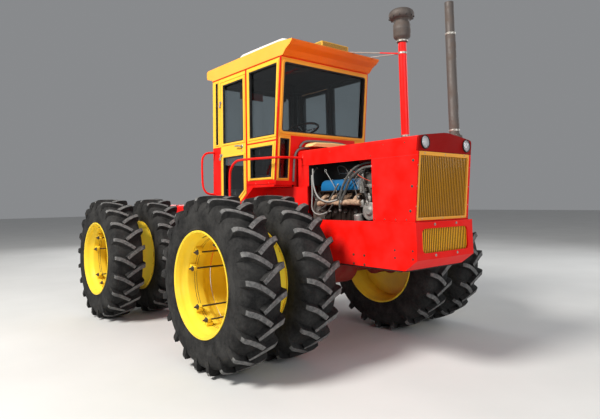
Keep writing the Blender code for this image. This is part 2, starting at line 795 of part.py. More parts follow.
def yoke(pivot):
    """The centre piece: a vertical king pin in front and a level trunnion for the rear frame."""
    z0, z1 = 0.60 + 0.03 + RUNNING_GAP, 1.13 - RUNNING_GAP
    barrel = rod("centre_yoke", (0, PIVOT_Y, z0), (0, PIVOT_Y, z1), 0.09, CAST_IRON, pivot, sides=20)
    pin = rod("king_pin", (0, PIVOT_Y, 0.59), (0, PIVOT_Y, 1.17), 0.042, CAST_IRON, pivot, True)
    block = box("block", (-0.14, PIVOT_Y, 0.70), (0.14, 1.72, 1.02), CAST_IRON, pivot, True)
    arm = [(0.14, PIVOT_Y), (0.41, EYE_Y - 0.06), (0.41, EYE_Y + 0.06), (0.14, EYE_Y + 0.10)]
    arm += [(-x, y) for x, y in reversed(arm)]
    arms = slab("arms", "Z", YOKE_ARM_TOP - 0.03, YOKE_ARM_TOP, arm, CAST_IRON, (), pivot, True)
    shaft = [(0.0, 0.32), (0.16, 0.32), (0.16, 0.26), (0.10, 0.255), (0.10, 0.0), (0.0, 0.0)]
    start = (0.0, 1.70, TRUNNION_Z)
    trunnion = turned("trunnion", shaft, start, (0, 3, TRUNNION_Z), CAST_IRON, pivot, True, 20)
    join(barrel, pin, block, arms, trunnion)


def rear_frame(pivot):
    inner = FRAME_HALF - FRAME_PLATE
    y0, y1 = REAR_FRAME_Y, WHEELBASE + 0.62
    outline = [
        (y0, 0.70),
        (y0, 1.12),
        (y0 + 0.30, 1.20),
        (y1, 1.20),
        (y1, 0.78),
        (WHEELBASE + 0.25, 0.78),
        (WHEELBASE + 0.20, FRAME_BOTTOM),
        (WHEELBASE - 0.20, FRAME_BOTTOM),
        (WHEELBASE - 0.30, 0.70),
    ]
    plate = slab("rear_frame", "X", -FRAME_HALF, -inner, outline, RED, (), pivot)
    far = slab("rear_plate", "X", inner, FRAME_HALF, outline, RED, (), pivot, True)
    half = inner + 0.004
    bore = circle(0, TRUNNION_Z, 0.10 + RUNNING_GAP, 20)
    bearing_face = rectangle(-half, 0.70, half, 1.12)
    bearing = slab("bearing", "Y", y0, y0 + 0.06, bearing_face, RED, (bore,), pivot, True)
    deck = box("deck", (-half, 2.20, 1.185), (half, y1, 1.20), RED, pivot, True)
    tail = box("tail", (-half, y1 - 0.02, 0.78), (half, y1, 1.20), RED, pivot, True)
    join(plate, far, bearing, deck, tail)
    axle = axle_beam("rear_axle", WHEELBASE, pivot)
    for _, side in SIDES:
        low, high = mirrored(0.38, 0.50, side)
        front, back = WHEELBASE - 0.12, WHEELBASE + 0.12
        top = FRAME_BOTTOM - TOUCH
        pad = box("pad", (low, front, AXLE_HEIGHT), (high, back, top), RED, pivot, True)
        join(axle, pad)
    shaft_end = WHEELBASE - 0.15
    join(axle, rod("pinion", (0, 2.10, TRUNNION_Z), (0, shaft_end, TRUNNION_Z), 0.045, CAST_IRON, pivot, True))


def tank_and_drawbar(pivot):
    tank = rectangle(-0.42, 1.20 + TOUCH, 0.42, 1.58, 0.06)
    body = slab("fuel_tank", "Y", 2.25, 3.50, tank, RED, (), pivot)
    filler = rod("filler", (0.25, 3.30, 1.57), (0.25, 3.30, 1.63), 0.05, BLACK, pivot, True)
    join(body, filler)
    y = WHEELBASE + 0.62 + TOUCH
    hitch = box("drawbar", (-0.16, y, 0.52), (0.16, y + 0.04, 0.92), CAST_IRON, pivot)
    bar = [(-0.06, y + 0.02), (0.06, y + 0.02), (0.06, y + 0.19), (-0.06, y + 0.19)]
    hole = circle(0, y + 0.14, 0.02, 12)
    tongue = slab("tongue", "Z", 0.54, 0.58, bar, CAST_IRON, (hole,), pivot, True)
    join(hitch, tongue)


def steering_cylinders():
    """Each barrel turns on a lug of the front frame. Its rod's eye lies over the yoke's arm."""
    for name, side in SIDES:
        x = side * CYLINDER_X
        base = (x, BARREL_Y, CYLINDER_Z)
        mouth = (x, BARREL_Y + BARREL_LENGTH, CYLINDER_Z)
        pivot = empty("hinge_of_cylinder_" + name, base, TRACTOR)
        barrel = rod("cylinder_barrel_" + name, base, mouth, 0.045, BLACK, pivot)
        foot = (x, BARREL_Y, CYLINDER_LUG_TOP + RUNNING_GAP)
        head = (x, BARREL_Y, CYLINDER_Z + 0.05)
        join(barrel, rod("boss", foot, head, 0.05, BLACK, pivot, True))
        bore_start = (x, BARREL_Y + 0.08, CYLINDER_Z)
        bore_end = (x, BARREL_Y + BARREL_LENGTH + 0.02, CYLINDER_Z)
        cut(barrel, rod("bore", bore_start, bore_end, 0.028, BLACK, pivot, True))
        slide = empty("slide_of_cylinder_" + name, mouth, TRACTOR)
        start = (x, BARREL_Y + 0.32, CYLINDER_Z)
        end = (x, EYE_Y, CYLINDER_Z)
        piston = rod("cylinder_rod_" + name, start, end, 0.022, STEEL, slide)
        foot = (x, EYE_Y, YOKE_ARM_TOP + RUNNING_GAP)
        head = (x, EYE_Y, CYLINDER_Z + 0.04)
        join(piston, rod("eye", foot, head, 0.045, STEEL, slide, True))


# ---------------------------------------------------------------- wheels


def tyre(name, side, x, y, pivot):
    """A tyre is an open-beaded shell, so its section is one closed loop."""
    flat = 1 / math.cos(math.pi / WHEEL_SIDES)
    outer = [(0.495, 0.190), (0.62, TYRE_HALF_WIDTH), (SHOULDER_RADIUS, 0.197)]
    outer += [(TYRE_RADIUS, 0.07)]
    inner = [(0.80, 0.05), (0.75, 0.165), (0.50, 0.165)]
    profile = outer + [(r, -h) for r, h in reversed(outer)]
    profile += [(r, -h) for r, h in reversed(inner)] + inner
    profile = [(r * flat, h) for r, h in profile]
    start = (side * x, y, AXLE_HEIGHT)
    end = (side * (x + 1), y, AXLE_HEIGHT)
    turned(name, profile, start, end, RUBBER, pivot, sides=WHEEL_SIDES, closed=True)


def rim(name, side, y, pivot):
    """Both rims of a dual wheel, the band between them, the disc and the hub, as one wheel."""
    flat = 1 / math.cos(math.pi / WHEEL_SIDES)
    well = 0.445
    skin = 0.012
    lip = RIM_HALF_WIDTH
    outer_seat = DUAL_SPACING
    inside = [
        (0.0, 0.12),
        (0.12, 0.12),
        (0.12, 0.055),
        (well - skin, 0.055),
        (SEAT_RADIUS - skin, 0.17),
        (0.478, lip + 0.02),
        (0.478, outer_seat - lip - 0.01),
        (well - skin, outer_seat + 0.03),
        (SEAT_RADIUS - skin, outer_seat + 0.18),
        (LIP_RADIUS - skin, outer_seat + lip),
    ]
    outside = [
        (LIP_RADIUS, outer_seat + lip),
        (SEAT_RADIUS, outer_seat + 0.18),
        (well, outer_seat + 0.03),
        (SEAT_RADIUS, outer_seat - 0.18),
        (LIP_RADIUS, outer_seat - lip),
        (0.49, outer_seat - lip - 0.01),
        (0.49, lip + 0.01),
        (LIP_RADIUS, lip),
        (SEAT_RADIUS, 0.18),
        (well, 0.0),
        (SEAT_RADIUS, -0.18),
        (LIP_RADIUS, -lip),
    ]
    back = [(LIP_RADIUS - skin, -lip), (SEAT_RADIUS - skin, -0.18)]
    back += [(well - skin, 0.0), (well - skin, 0.035)]
    hub_end = 0.70 + RUNNING_GAP - INNER_WHEEL_X
    back += [(0.14, 0.035), (0.14, hub_end), (0.0, hub_end)]
    profile = [(r * flat, h) for r, h in inside + outside + back]
    start = (side * INNER_WHEEL_X, y, AXLE_HEIGHT)
    end = (side * (INNER_WHEEL_X + 1), y, AXLE_HEIGHT)
    turned(name, profile, start, end, RIM_YELLOW, pivot, sides=WHEEL_SIDES)


def wheels():
    for axle, y in (("front", 0.0), ("rear", WHEELBASE)):
        for name, side in SIDES:
            corner = axle + "_" + name
            hub = (side * INNER_WHEEL_X, y, AXLE_HEIGHT)
            pivot = empty("hub_" + corner, hub, TRACTOR)
            rim("rim_" + corner, side, y, pivot)
            tyre("tyre_inner_" + corner, side, INNER_WHEEL_X, y, pivot)
            tyre("tyre_outer_" + corner, side, INNER_WHEEL_X + DUAL_SPACING, y, pivot)


front_frame()
front_axle()
drive_line()
hood()
nose()
stacks()
cab_front()
cab_sides()
cab_rear()
cab_floor_and_fenders()
doors()
roof()
seat_and_steering()
handrails()
KING_PIN = empty("king_pin_axis", (0.0, PIVOT_Y, TRUNNION_Z), TRACTOR)
yoke(KING_PIN)
TRUNNION = empty("trunnion_axis", (0.0, REAR_FRAME_Y, TRUNNION_Z), TRACTOR)
rear_frame(TRUNNION)
tank_and_drawbar(TRUNNION)
steering_cylinders()
wheels()
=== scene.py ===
"""Looks for the articulated farm tractor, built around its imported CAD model.

Pieces are given in the part's own axle frame, whose Y starts at the front axle. SHIFT carries
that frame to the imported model's. The tractor faces -Y, its left side is +X, and Z is up.
"""

import math
import random

import bmesh
import bpy
from mathutils import Matrix, Vector


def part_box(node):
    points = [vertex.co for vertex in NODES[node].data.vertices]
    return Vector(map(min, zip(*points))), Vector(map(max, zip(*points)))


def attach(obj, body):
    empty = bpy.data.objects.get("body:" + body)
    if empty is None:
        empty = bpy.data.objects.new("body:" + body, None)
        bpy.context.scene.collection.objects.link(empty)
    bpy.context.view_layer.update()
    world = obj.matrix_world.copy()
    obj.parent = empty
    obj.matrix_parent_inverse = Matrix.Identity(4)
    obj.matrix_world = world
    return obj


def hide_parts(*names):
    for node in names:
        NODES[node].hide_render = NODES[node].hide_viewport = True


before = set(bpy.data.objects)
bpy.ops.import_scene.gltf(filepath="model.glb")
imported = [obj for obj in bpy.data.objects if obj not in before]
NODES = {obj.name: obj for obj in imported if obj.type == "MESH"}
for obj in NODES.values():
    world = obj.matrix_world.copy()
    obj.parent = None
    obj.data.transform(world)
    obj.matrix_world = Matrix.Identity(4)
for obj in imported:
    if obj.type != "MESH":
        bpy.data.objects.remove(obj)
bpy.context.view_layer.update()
DRAW = random.Random(7)

# ---------------------------------------------------------------- sizes taken from the frame

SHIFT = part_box("cab_rear_wall")[1].y - 1.52
CAB_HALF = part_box("cab_side_left")[0].x + 0.027
HOOD_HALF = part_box("hood")[1].x
AXLE_Z = 0.84
WHEELBASE = 2.98
INNER_X, DUAL = 0.94, 0.67
PIVOT_Y = 1.49
TOUCH = 0.0003
SIDES = (("right", -1), ("left", 1))
# Half the width over the frame's plates, and the top of the roof's skin
FRAME_HALF = 0.461
ROOF_TOP = 3.4206
# The cab's front and the nose lean: each face's Y at ground level, and how much it falls for a metre up
CAB_FRONT, CAB_SLOPE = 0.360324, 0.098
NOSE_FRONT, NOSE_SLOPE = -1.3088144, 0.0968
NOSE_TOP = -1.521
# Where the two stacks stand
EXHAUST_AT = (0.30, -1.42)
INTAKE_AT = (0.10, -0.98)
LAMP_X, LAMP_Z = 0.338, 2.13

# ---------------------------------------------------------------- materials


class Paintbox:
    """A material's node tree with short ways to add the nodes that all of them share."""

    def __init__(self, name, colour, roughness, metallic=0.0, **sockets):
        self.material = bpy.data.materials.new(name)
        self.material.use_nodes = True
        self.tree = self.material.node_tree
        self.shader = self.tree.nodes["Principled BSDF"]
        self.shader.inputs["Base Color"].default_value = (*colour, 1.0)
        self.shader.inputs["Roughness"].default_value = roughness
        self.shader.inputs["Metallic"].default_value = metallic
        for socket, value in sockets.items():
            self.shader.inputs[socket.replace("_", " ")].default_value = value
        coords = self.tree.nodes.new("ShaderNodeTexCoord")
        place = self.tree.nodes.new("ShaderNodeMapping")
        place.inputs["Location"].default_value = (0.0, -SHIFT, 0.0)
        self.tree.links.new(coords.outputs["Object"], place.inputs["Vector"])
        self.coords = place.outputs["Vector"]
        self.axes = None

    def put(self, socket, value):
        if isinstance(value, bpy.types.NodeSocket):
            self.tree.links.new(value, socket)
        elif isinstance(value, tuple) and len(value) == 3 and socket.type == "RGBA":
            socket.default_value = (*value, 1.0)
        else:
            socket.default_value = value

    def math(self, operation, a, b=0.0, clamp=False):
        node = self.tree.nodes.new("ShaderNodeMath")
        node.operation = operation
        node.use_clamp = clamp
        self.put(node.inputs[0], a)
        self.put(node.inputs[1], b)
        return node.outputs[0]

    def axis(self, name):
        if self.axes is None:
            node = self.tree.nodes.new("ShaderNodeSeparateXYZ")
            self.put(node.inputs[0], self.coords)
            self.axes = node.outputs
        return self.axes["XYZ".index(name)]

    def noise(self, scale, detail=4.0, roughness=0.55, stretch=(1, 1, 1)):
        place = self.tree.nodes.new("ShaderNodeMapping")
        place.inputs["Scale"].default_value = stretch
        self.put(place.inputs["Vector"], self.coords)
        node = self.tree.nodes.new("ShaderNodeTexNoise")
        node.inputs["Scale"].default_value = scale
        node.inputs["Detail"].default_value = detail
        node.inputs["Roughness"].default_value = roughness
        self.put(node.inputs["Vector"], place.outputs["Vector"])
        return node.outputs["Fac"]

    def cells(self, scale, feature="F1"):
        node = self.tree.nodes.new("ShaderNodeTexVoronoi")
        node.feature = feature
        node.inputs["Scale"].default_value = scale
        self.put(node.inputs["Vector"], self.coords)
        return node.outputs["Distance"]

    def span(self, value, low, high, out_low=0.0, out_high=1.0):
        node = self.tree.nodes.new("ShaderNodeMapRange")
        self.put(node.inputs["Value"], value)
        limits = {"From Min": low, "From Max": high, "To Min": out_low, "To Max": out_high}
        for socket, number in limits.items():
            node.inputs[socket].default_value = number
        return node.outputs["Result"]

    def mix(self, share, a, b):
        node = self.tree.nodes.new("ShaderNodeMix")
        node.data_type = "RGBA"
        self.put(node.inputs["Factor"], share)
        self.put(node.inputs["A"], a)
        self.put(node.inputs["B"], b)
        return node.outputs["Result"]

    def facing(self, axis):
        """How much the surface faces along an axis, from -1 to 1."""
        node = self.tree.nodes.new("ShaderNodeNewGeometry")
        parts = self.tree.nodes.new("ShaderNodeSeparateXYZ")
        self.put(parts.inputs[0], node.outputs["Normal"])
        return parts.outputs["XYZ".index(axis)]

    def edges(self, radius):
        """(a normal rounded over the edges, how near an edge the surface is)."""
        round_over = self.tree.nodes.new("ShaderNodeBevel")
        round_over.samples = 4
        round_over.inputs["Radius"].default_value = radius
        plain = self.tree.nodes.new("ShaderNodeNewGeometry")
        dot = self.tree.nodes.new("ShaderNodeVectorMath")
        dot.operation = "DOT_PRODUCT"
        self.put(dot.inputs[0], round_over.outputs["Normal"])
        self.put(dot.inputs[1], plain.outputs["Normal"])
        return round_over.outputs["Normal"], self.span(dot.outputs["Value"], 0.99, 0.86)

    def bump(self, height, strength, distance, normal=None):
        node = self.tree.nodes.new("ShaderNodeBump")
        node.inputs["Strength"].default_value = strength
        node.inputs["Distance"].default_value = distance
        self.put(node.inputs["Height"], height)
        if normal is not None:
            self.put(node.inputs["Normal"], normal)
        self.put(self.shader.inputs["Normal"], node.outputs["Normal"])

    def set(self, socket, value):
        self.put(self.shader.inputs[socket], value)

    def zone(self, colour, paint, **limits):
        """The colour with another paint wherever the surface lies inside the limits."""
        share = None
        for name, (low, high) in limits.items():
            value = self.axis(name[0].upper())
            if name.endswith("abs"):
                value = self.math("ABSOLUTE", value)
            if name == "ylean":
                value = self.math("ADD", value, self.math("MULTIPLY", self.axis("Z"), CAB_SLOPE))
            inside = self.math(
                "MULTIPLY", self.math("GREATER_THAN", value, low), self.math("LESS_THAN", value, high)
            )
            share = inside if share is None else self.math("MULTIPLY", share, inside)
        return self.mix(share, colour, paint)


RED_PAINT = (0.82, 0.006, 0.003)
# A darker copy of the body red: painted shade for the nose's front faces, turned away from the light.
SHADED_NOSE_RED = (0.27, 0.003, 0.002)
YELLOW_PAINT = (0.93, 0.52, 0.045)
ORANGE_PAINT = (0.90, 0.165, 0.006)
GOLD_PAINT = (0.50, 0.22, 0.006)
RIM_PAINT = (0.97, 0.69, 0.042)
DUST = (0.26, 0.19, 0.12)
DARK_LINING = (0.025, 0.023, 0.022)


def painted(name, colour, roughness=0.34, dust=0.35, wear=0.5, zones=(), sunlit_sides=None, radius=0.004, gloss=0.16):
    """Old gloss paint: it has paled in patches, gathers dust on top and low down, and chips at edges. A side
    colour, if given, is painted sunlight on faces turned to the sides.
    """
    box = Paintbox(
        name, colour, roughness, 0.0, Specular_IOR_Level=gloss, Coat_Weight=0.06, Coat_Roughness=0.1
    )
    tone = (*colour, 1.0)
    # Faces turned to the sides take a paler colour: painted sunlight.
    if sunlit_sides is not None:
        tone = box.mix(box.span(box.math("ABSOLUTE", box.facing("X")), 0.55, 0.95), tone, (*sunlit_sides, 1.0))
    for paint, limits in zones:
        tone = box.zone(tone, (*paint, 1.0), **limits)
    broad = box.noise(2.3, 5.0, 0.6)
    node = box.tree.nodes.new("ShaderNodeHueSaturation")
    box.put(node.inputs["Color"], tone)
    box.put(node.inputs["Value"], box.span(broad, 0.3, 0.7, 0.93, 1.03))
    box.put(node.inputs["Saturation"], box.span(box.noise(5.0, 3.0), 0.35, 0.75, 1.0, 0.985))
    tone = node.outputs["Color"]
    streaks = box.noise(9.0, 3.0, 0.6, (6.0, 6.0, 0.5))
    low = box.span(box.axis("Z"), 1.15, 0.3, 0.0, 0.8)
    up = box.span(box.facing("Z"), 0.45, 1.0, 0.0, 1.0)
    settled = box.math(
        "MULTIPLY", box.math("MAXIMUM", low, up), box.span(box.noise(6.0, 6.0, 0.65), 0.35, 0.7)
    )
    settled = box.math("ADD", settled, box.span(streaks, 0.64, 0.85, 0.0, 0.16))
    tone = box.mix(box.math("MULTIPLY", settled, dust, True), tone, DUST)
    normal, near = box.edges(radius)
    chips = box.math("MULTIPLY", near, box.span(box.noise(42.0, 5.0, 0.7), 0.52, 0.60))
    specks = box.span(box.cells(17.0), 0.035, 0.02)
    chips = box.math("MAXIMUM", chips, box.math("MULTIPLY", specks, box.span(box.noise(3.0), 0.52, 0.62)))
    chips = box.math("MULTIPLY", chips, wear, True)
    tone = box.mix(chips, tone, (0.10, 0.055, 0.035))
    box.set("Base Color", tone)
    rough = box.math(
        "ADD", box.span(broad, 0.3, 0.7, roughness - 0.06, roughness + 0.1),
        box.math("MULTIPLY", settled, dust * 0.6)
    )
    box.set("Roughness", box.math("ADD", rough, box.math("MULTIPLY", chips, 0.3), True))
    grain = box.math(
        "ADD", box.math("MULTIPLY", box.noise(190.0, 2.0), 0.35), box.math("MULTIPLY", chips, -1.2)
    )
    dents = box.math("ADD", grain, box.math("MULTIPLY", box.noise(1.7, 2.0), 9.0))
    box.bump(dents, 0.35, 0.0007, normal)
    return box.material


def metal(
    name, colour, roughness, metallic=0.85, spots=(0.16, 0.10, 0.07), amount=0.3, scale=14.0,
    stretch=(1, 1, 1)
):
    """Bare or heat-stained metal with a brushed grain and patches of rust or soot."""
    box = Paintbox(name, colour, roughness, metallic)
    patches = box.span(box.noise(scale, 7.0, 0.65), 0.46, 0.68)
    tone = box.mix(box.math("MULTIPLY", patches, amount), (*colour, 1.0), (*spots, 1.0))
    tone = box.mix(
        box.span(box.noise(scale * 6, 3.0, 0.6, stretch), 0.35, 0.7, 0.0, 0.3), tone,
        tuple(c * 0.55 for c in colour)
    )
    box.set("Base Color", tone)
    box.set(
        "Metallic", box.math("SUBTRACT", metallic, box.math("MULTIPLY", patches, amount * metallic), True)
    )
    box.set("Roughness", box.math("ADD", roughness, box.math("MULTIPLY", patches, 0.3), True))
    normal, _ = box.edges(0.0025)
    box.bump(box.noise(scale * 9, 4.0, 0.6, stretch), 0.35, 0.0012, normal)
    return box.material


def rubbery(name, colour, pale, roughness=0.78, amount=0.6, scale=11.0, grain=260.0, depth=0.0011):
    """Rubber or cloth-covered hose with dry dust worked into it."""
    box = Paintbox(name, colour, roughness, 0.0, Specular_IOR_Level=0.22)
    dusty = box.span(box.noise(scale, 8.0, 0.68), 0.40, 0.66)
    fine = box.span(box.noise(scale * 9, 5.0, 0.7), 0.42, 0.66)
    share = box.math(
        "MULTIPLY", box.math("ADD", box.math("MULTIPLY", dusty, 0.7), box.math("MULTIPLY", fine, 0.3)), amount
    )
    box.set("Base Color", box.mix(share, (*colour, 1.0), (*pale, 1.0)))
    box.set("Roughness", box.math("ADD", roughness, box.math("MULTIPLY", share, 0.12), True))
    relief = box.math("ADD", box.noise(grain, 3.0), box.math("MULTIPLY", box.noise(scale * 3, 5.0), 1.6))
    box.bump(relief, 0.55, depth)
    return box.material


def glazing(name, colour, roughness=0.02):
    """Tinted flat glass with faint smears."""
    box = Paintbox(name, colour, roughness, 0.0, Transmission_Weight=1.0, IOR=1.45)
    box.set("Roughness", box.span(box.noise(4.0, 6.0, 0.6), 0.45, 0.8, roughness, roughness + 0.06))
    box.set(
        "Base Color",
        box.mix(box.span(box.noise(2.0, 4.0), 0.5, 0.8, 0.0, 0.12), (*colour, 1.0), (0.5, 0.5, 0.48, 1.0))
    )
    return box.material


def lamp_lens():
    box = Paintbox("lamp_lens", (0.93, 0.94, 0.96), 0.04, 0.0, Transmission_Weight=0.6, IOR=1.5)
    wave = box.tree.nodes.new("ShaderNodeTexWave")
    wave.inputs["Scale"].default_value = 55.0
    box.put(wave.inputs["Vector"], box.coords)
    box.bump(wave.outputs["Fac"], 0.5, 0.002)
    box.set("Roughness", box.span(box.noise(30.0), 0.3, 0.7, 0.03, 0.16))
    return box.material


def vinyl():
    """Black seat vinyl with a leather-like grain."""
    box = Paintbox("seat_vinyl_look", (0.022, 0.021, 0.020), 0.5)
    creases = box.cells(320.0, "DISTANCE_TO_EDGE")
    box.set(
        "Base Color",
        box.mix(
            box.span(box.noise(9.0, 5.0), 0.4, 0.8, 0.0, 0.5), (0.022, 0.021, 0.020, 1.0),
            (0.085, 0.075, 0.065, 1.0)
        )
    )
    box.set("Roughness", box.span(box.noise(25.0, 4.0), 0.3, 0.7, 0.38, 0.62))
    box.bump(box.math("MINIMUM", creases, 0.12), 0.6, 0.002)
    return box.material


RED = painted("red_paint", RED_PAINT, 0.36, dust=0.05, gloss=0.09)
FRAME_RED = painted("frame_red_paint", RED_PAINT, 0.38, dust=0.08, wear=0.7, gloss=0.09)
# The body red darkened: painted shade for the nose.
SHADED_RED = painted("nose_shaded_red", SHADED_NOSE_RED, 0.36, dust=0.03, gloss=0.04)
# Dark maroon for a sheet just inside the narrow front windows: painted shade of the cab's inside.
SHADE_MAROON = painted("window_shade_maroon", (0.085, 0.007, 0.006), 0.5, dust=0.1)
AXLE_RED = painted("axle_paint", (0.24, 0.010, 0.008), 0.5, dust=0.7, wear=0.8)
YELLOW = painted("yellow_paint", YELLOW_PAINT, 0.38, dust=0.16)
# Its sides take a paler orange: painted sunlight.
ORANGE = painted("orange_paint", ORANGE_PAINT, 0.42, dust=0.12, sunlit_sides=(0.95, 0.41, 0.055), radius=0.014)
GOLD = painted("gold_paint", GOLD_PAINT, 0.38, dust=0.2)
# A lighter copy of the grille gold: painted light on the lower grille.
LIT_LOWER_GOLD = painted("lower_grille_lit_gold", (0.92, 0.44, 0.016), 0.38, dust=0.2)
GRILLE_FRAME = painted("grille_frame_paint", (0.85, 0.38, 0.045), 0.4, dust=0.16)
RIM_YELLOW = painted("rim_paint", RIM_PAINT, 0.3, dust=0.22, wear=0.6)
BLUE = painted("engine_blue", (0.008, 0.13, 0.32), 0.4, dust=0.15)
BLACK = painted("black_paint_look", (0.016, 0.016, 0.017), 0.5, dust=0.3, wear=0.3)
WHITE = painted("chalk_white", (0.74, 0.74, 0.72), 0.6, dust=0.25, wear=0.3, radius=0.012)
SOOT = painted("engine_soot", (0.020, 0.013, 0.010), 0.6, dust=0.06, wear=0.2)
BEIGE = painted("beige_cover", (0.78, 0.55, 0.22), 0.5, dust=0.3)
STACK = metal("stack_steel", (0.096, 0.081, 0.074), 0.6, 0.4, (0.12, 0.07, 0.045), 0.5, 7.0, (1, 1, 0.08))
RUSTY = metal("rusty_bolts", (0.10, 0.035, 0.018), 0.75, 0.3, (0.05, 0.03, 0.02), 0.6, 60.0)
IRON = metal("cast_iron_look", (0.085, 0.078, 0.072), 0.62, 0.6, (0.12, 0.075, 0.045), 0.6, 16.0)
RUST = metal("rusty_manifold", (0.50, 0.33, 0.22), 0.8, 0.1, (0.10, 0.04, 0.02), 0.8, 26.0)
STEEL = metal("bright_steel_look", (0.60, 0.60, 0.62), 0.22, 1.0, (0.30, 0.25, 0.20), 0.15, 12.0)
REFLECTOR = metal("lamp_reflector", (0.93, 0.92, 0.90), 0.42, 0.45, (0.70, 0.62, 0.52), 0.5, 9.0)
ZINC = metal("zinc_bolts", (0.46, 0.44, 0.40), 0.4, 0.9, (0.25, 0.14, 0.07), 0.5, 60.0)
ALLOY = metal("cast_alloy", (0.42, 0.41, 0.39), 0.5, 0.85, (0.16, 0.13, 0.10), 0.55, 26.0)
TREAD = rubbery("tyre_rubber", (0.0070, 0.0070, 0.0074), (0.068, 0.0665, 0.064), 0.80, 0.6, 4.5)
# Lug tops: worn, dusty rubber, made lighter still as a painted highlight where the tops catch the light.
LUG_TOP = rubbery("tyre_lug_top", (0.070, 0.070, 0.071), (0.26, 0.257, 0.25), 0.86, 0.85, 26.0, 420.0, 0.0013)
SEAL = rubbery("window_seal", (0.018, 0.018, 0.019), (0.07, 0.068, 0.063), 0.66, 0.4)
GREY_SEAL = rubbery("grey_seal", (0.15, 0.155, 0.155), (0.25, 0.245, 0.23), 0.7, 0.5)
HOSE = rubbery("hose_rubber", (0.03, 0.03, 0.032), (0.24, 0.23, 0.21), 0.5, 0.8)
BELL = metal("bell_housing", (0.115, 0.092, 0.078), 0.75, 0.1, (0.05, 0.035, 0.028), 0.7, 9.0)
WIRE = rubbery("red_wire", (0.55, 0.045, 0.012), (0.30, 0.08, 0.04), 0.5, 0.4)
PALE_HOSE = rubbery("pale_hose", (0.30, 0.30, 0.29), (0.42, 0.40, 0.36), 0.62, 0.5)
LINING = rubbery("cab_lining", (0.035, 0.033, 0.032), (0.09, 0.085, 0.08), 0.85, 0.4, 7.0, 600.0, 0.0008)
MAT = rubbery("floor_mat", (0.022, 0.022, 0.022), (0.12, 0.10, 0.08), 0.8, 0.6)
WHEEL_GRIP = rubbery("wheel_grip", (0.045, 0.022, 0.016), (0.10, 0.06, 0.045), 0.42, 0.4)
GLASS = glazing("cab_glass", (0.60, 0.66, 0.68))
LENS = lamp_lens()
RED_LENS = glazing("red_lens", (0.62, 0.012, 0.010), 0.08)
AMBER_LENS = glazing("amber_lens", (0.85, 0.26, 0.01), 0.08)
VINYL = vinyl()

# ---------------------------------------------------------------- shapes


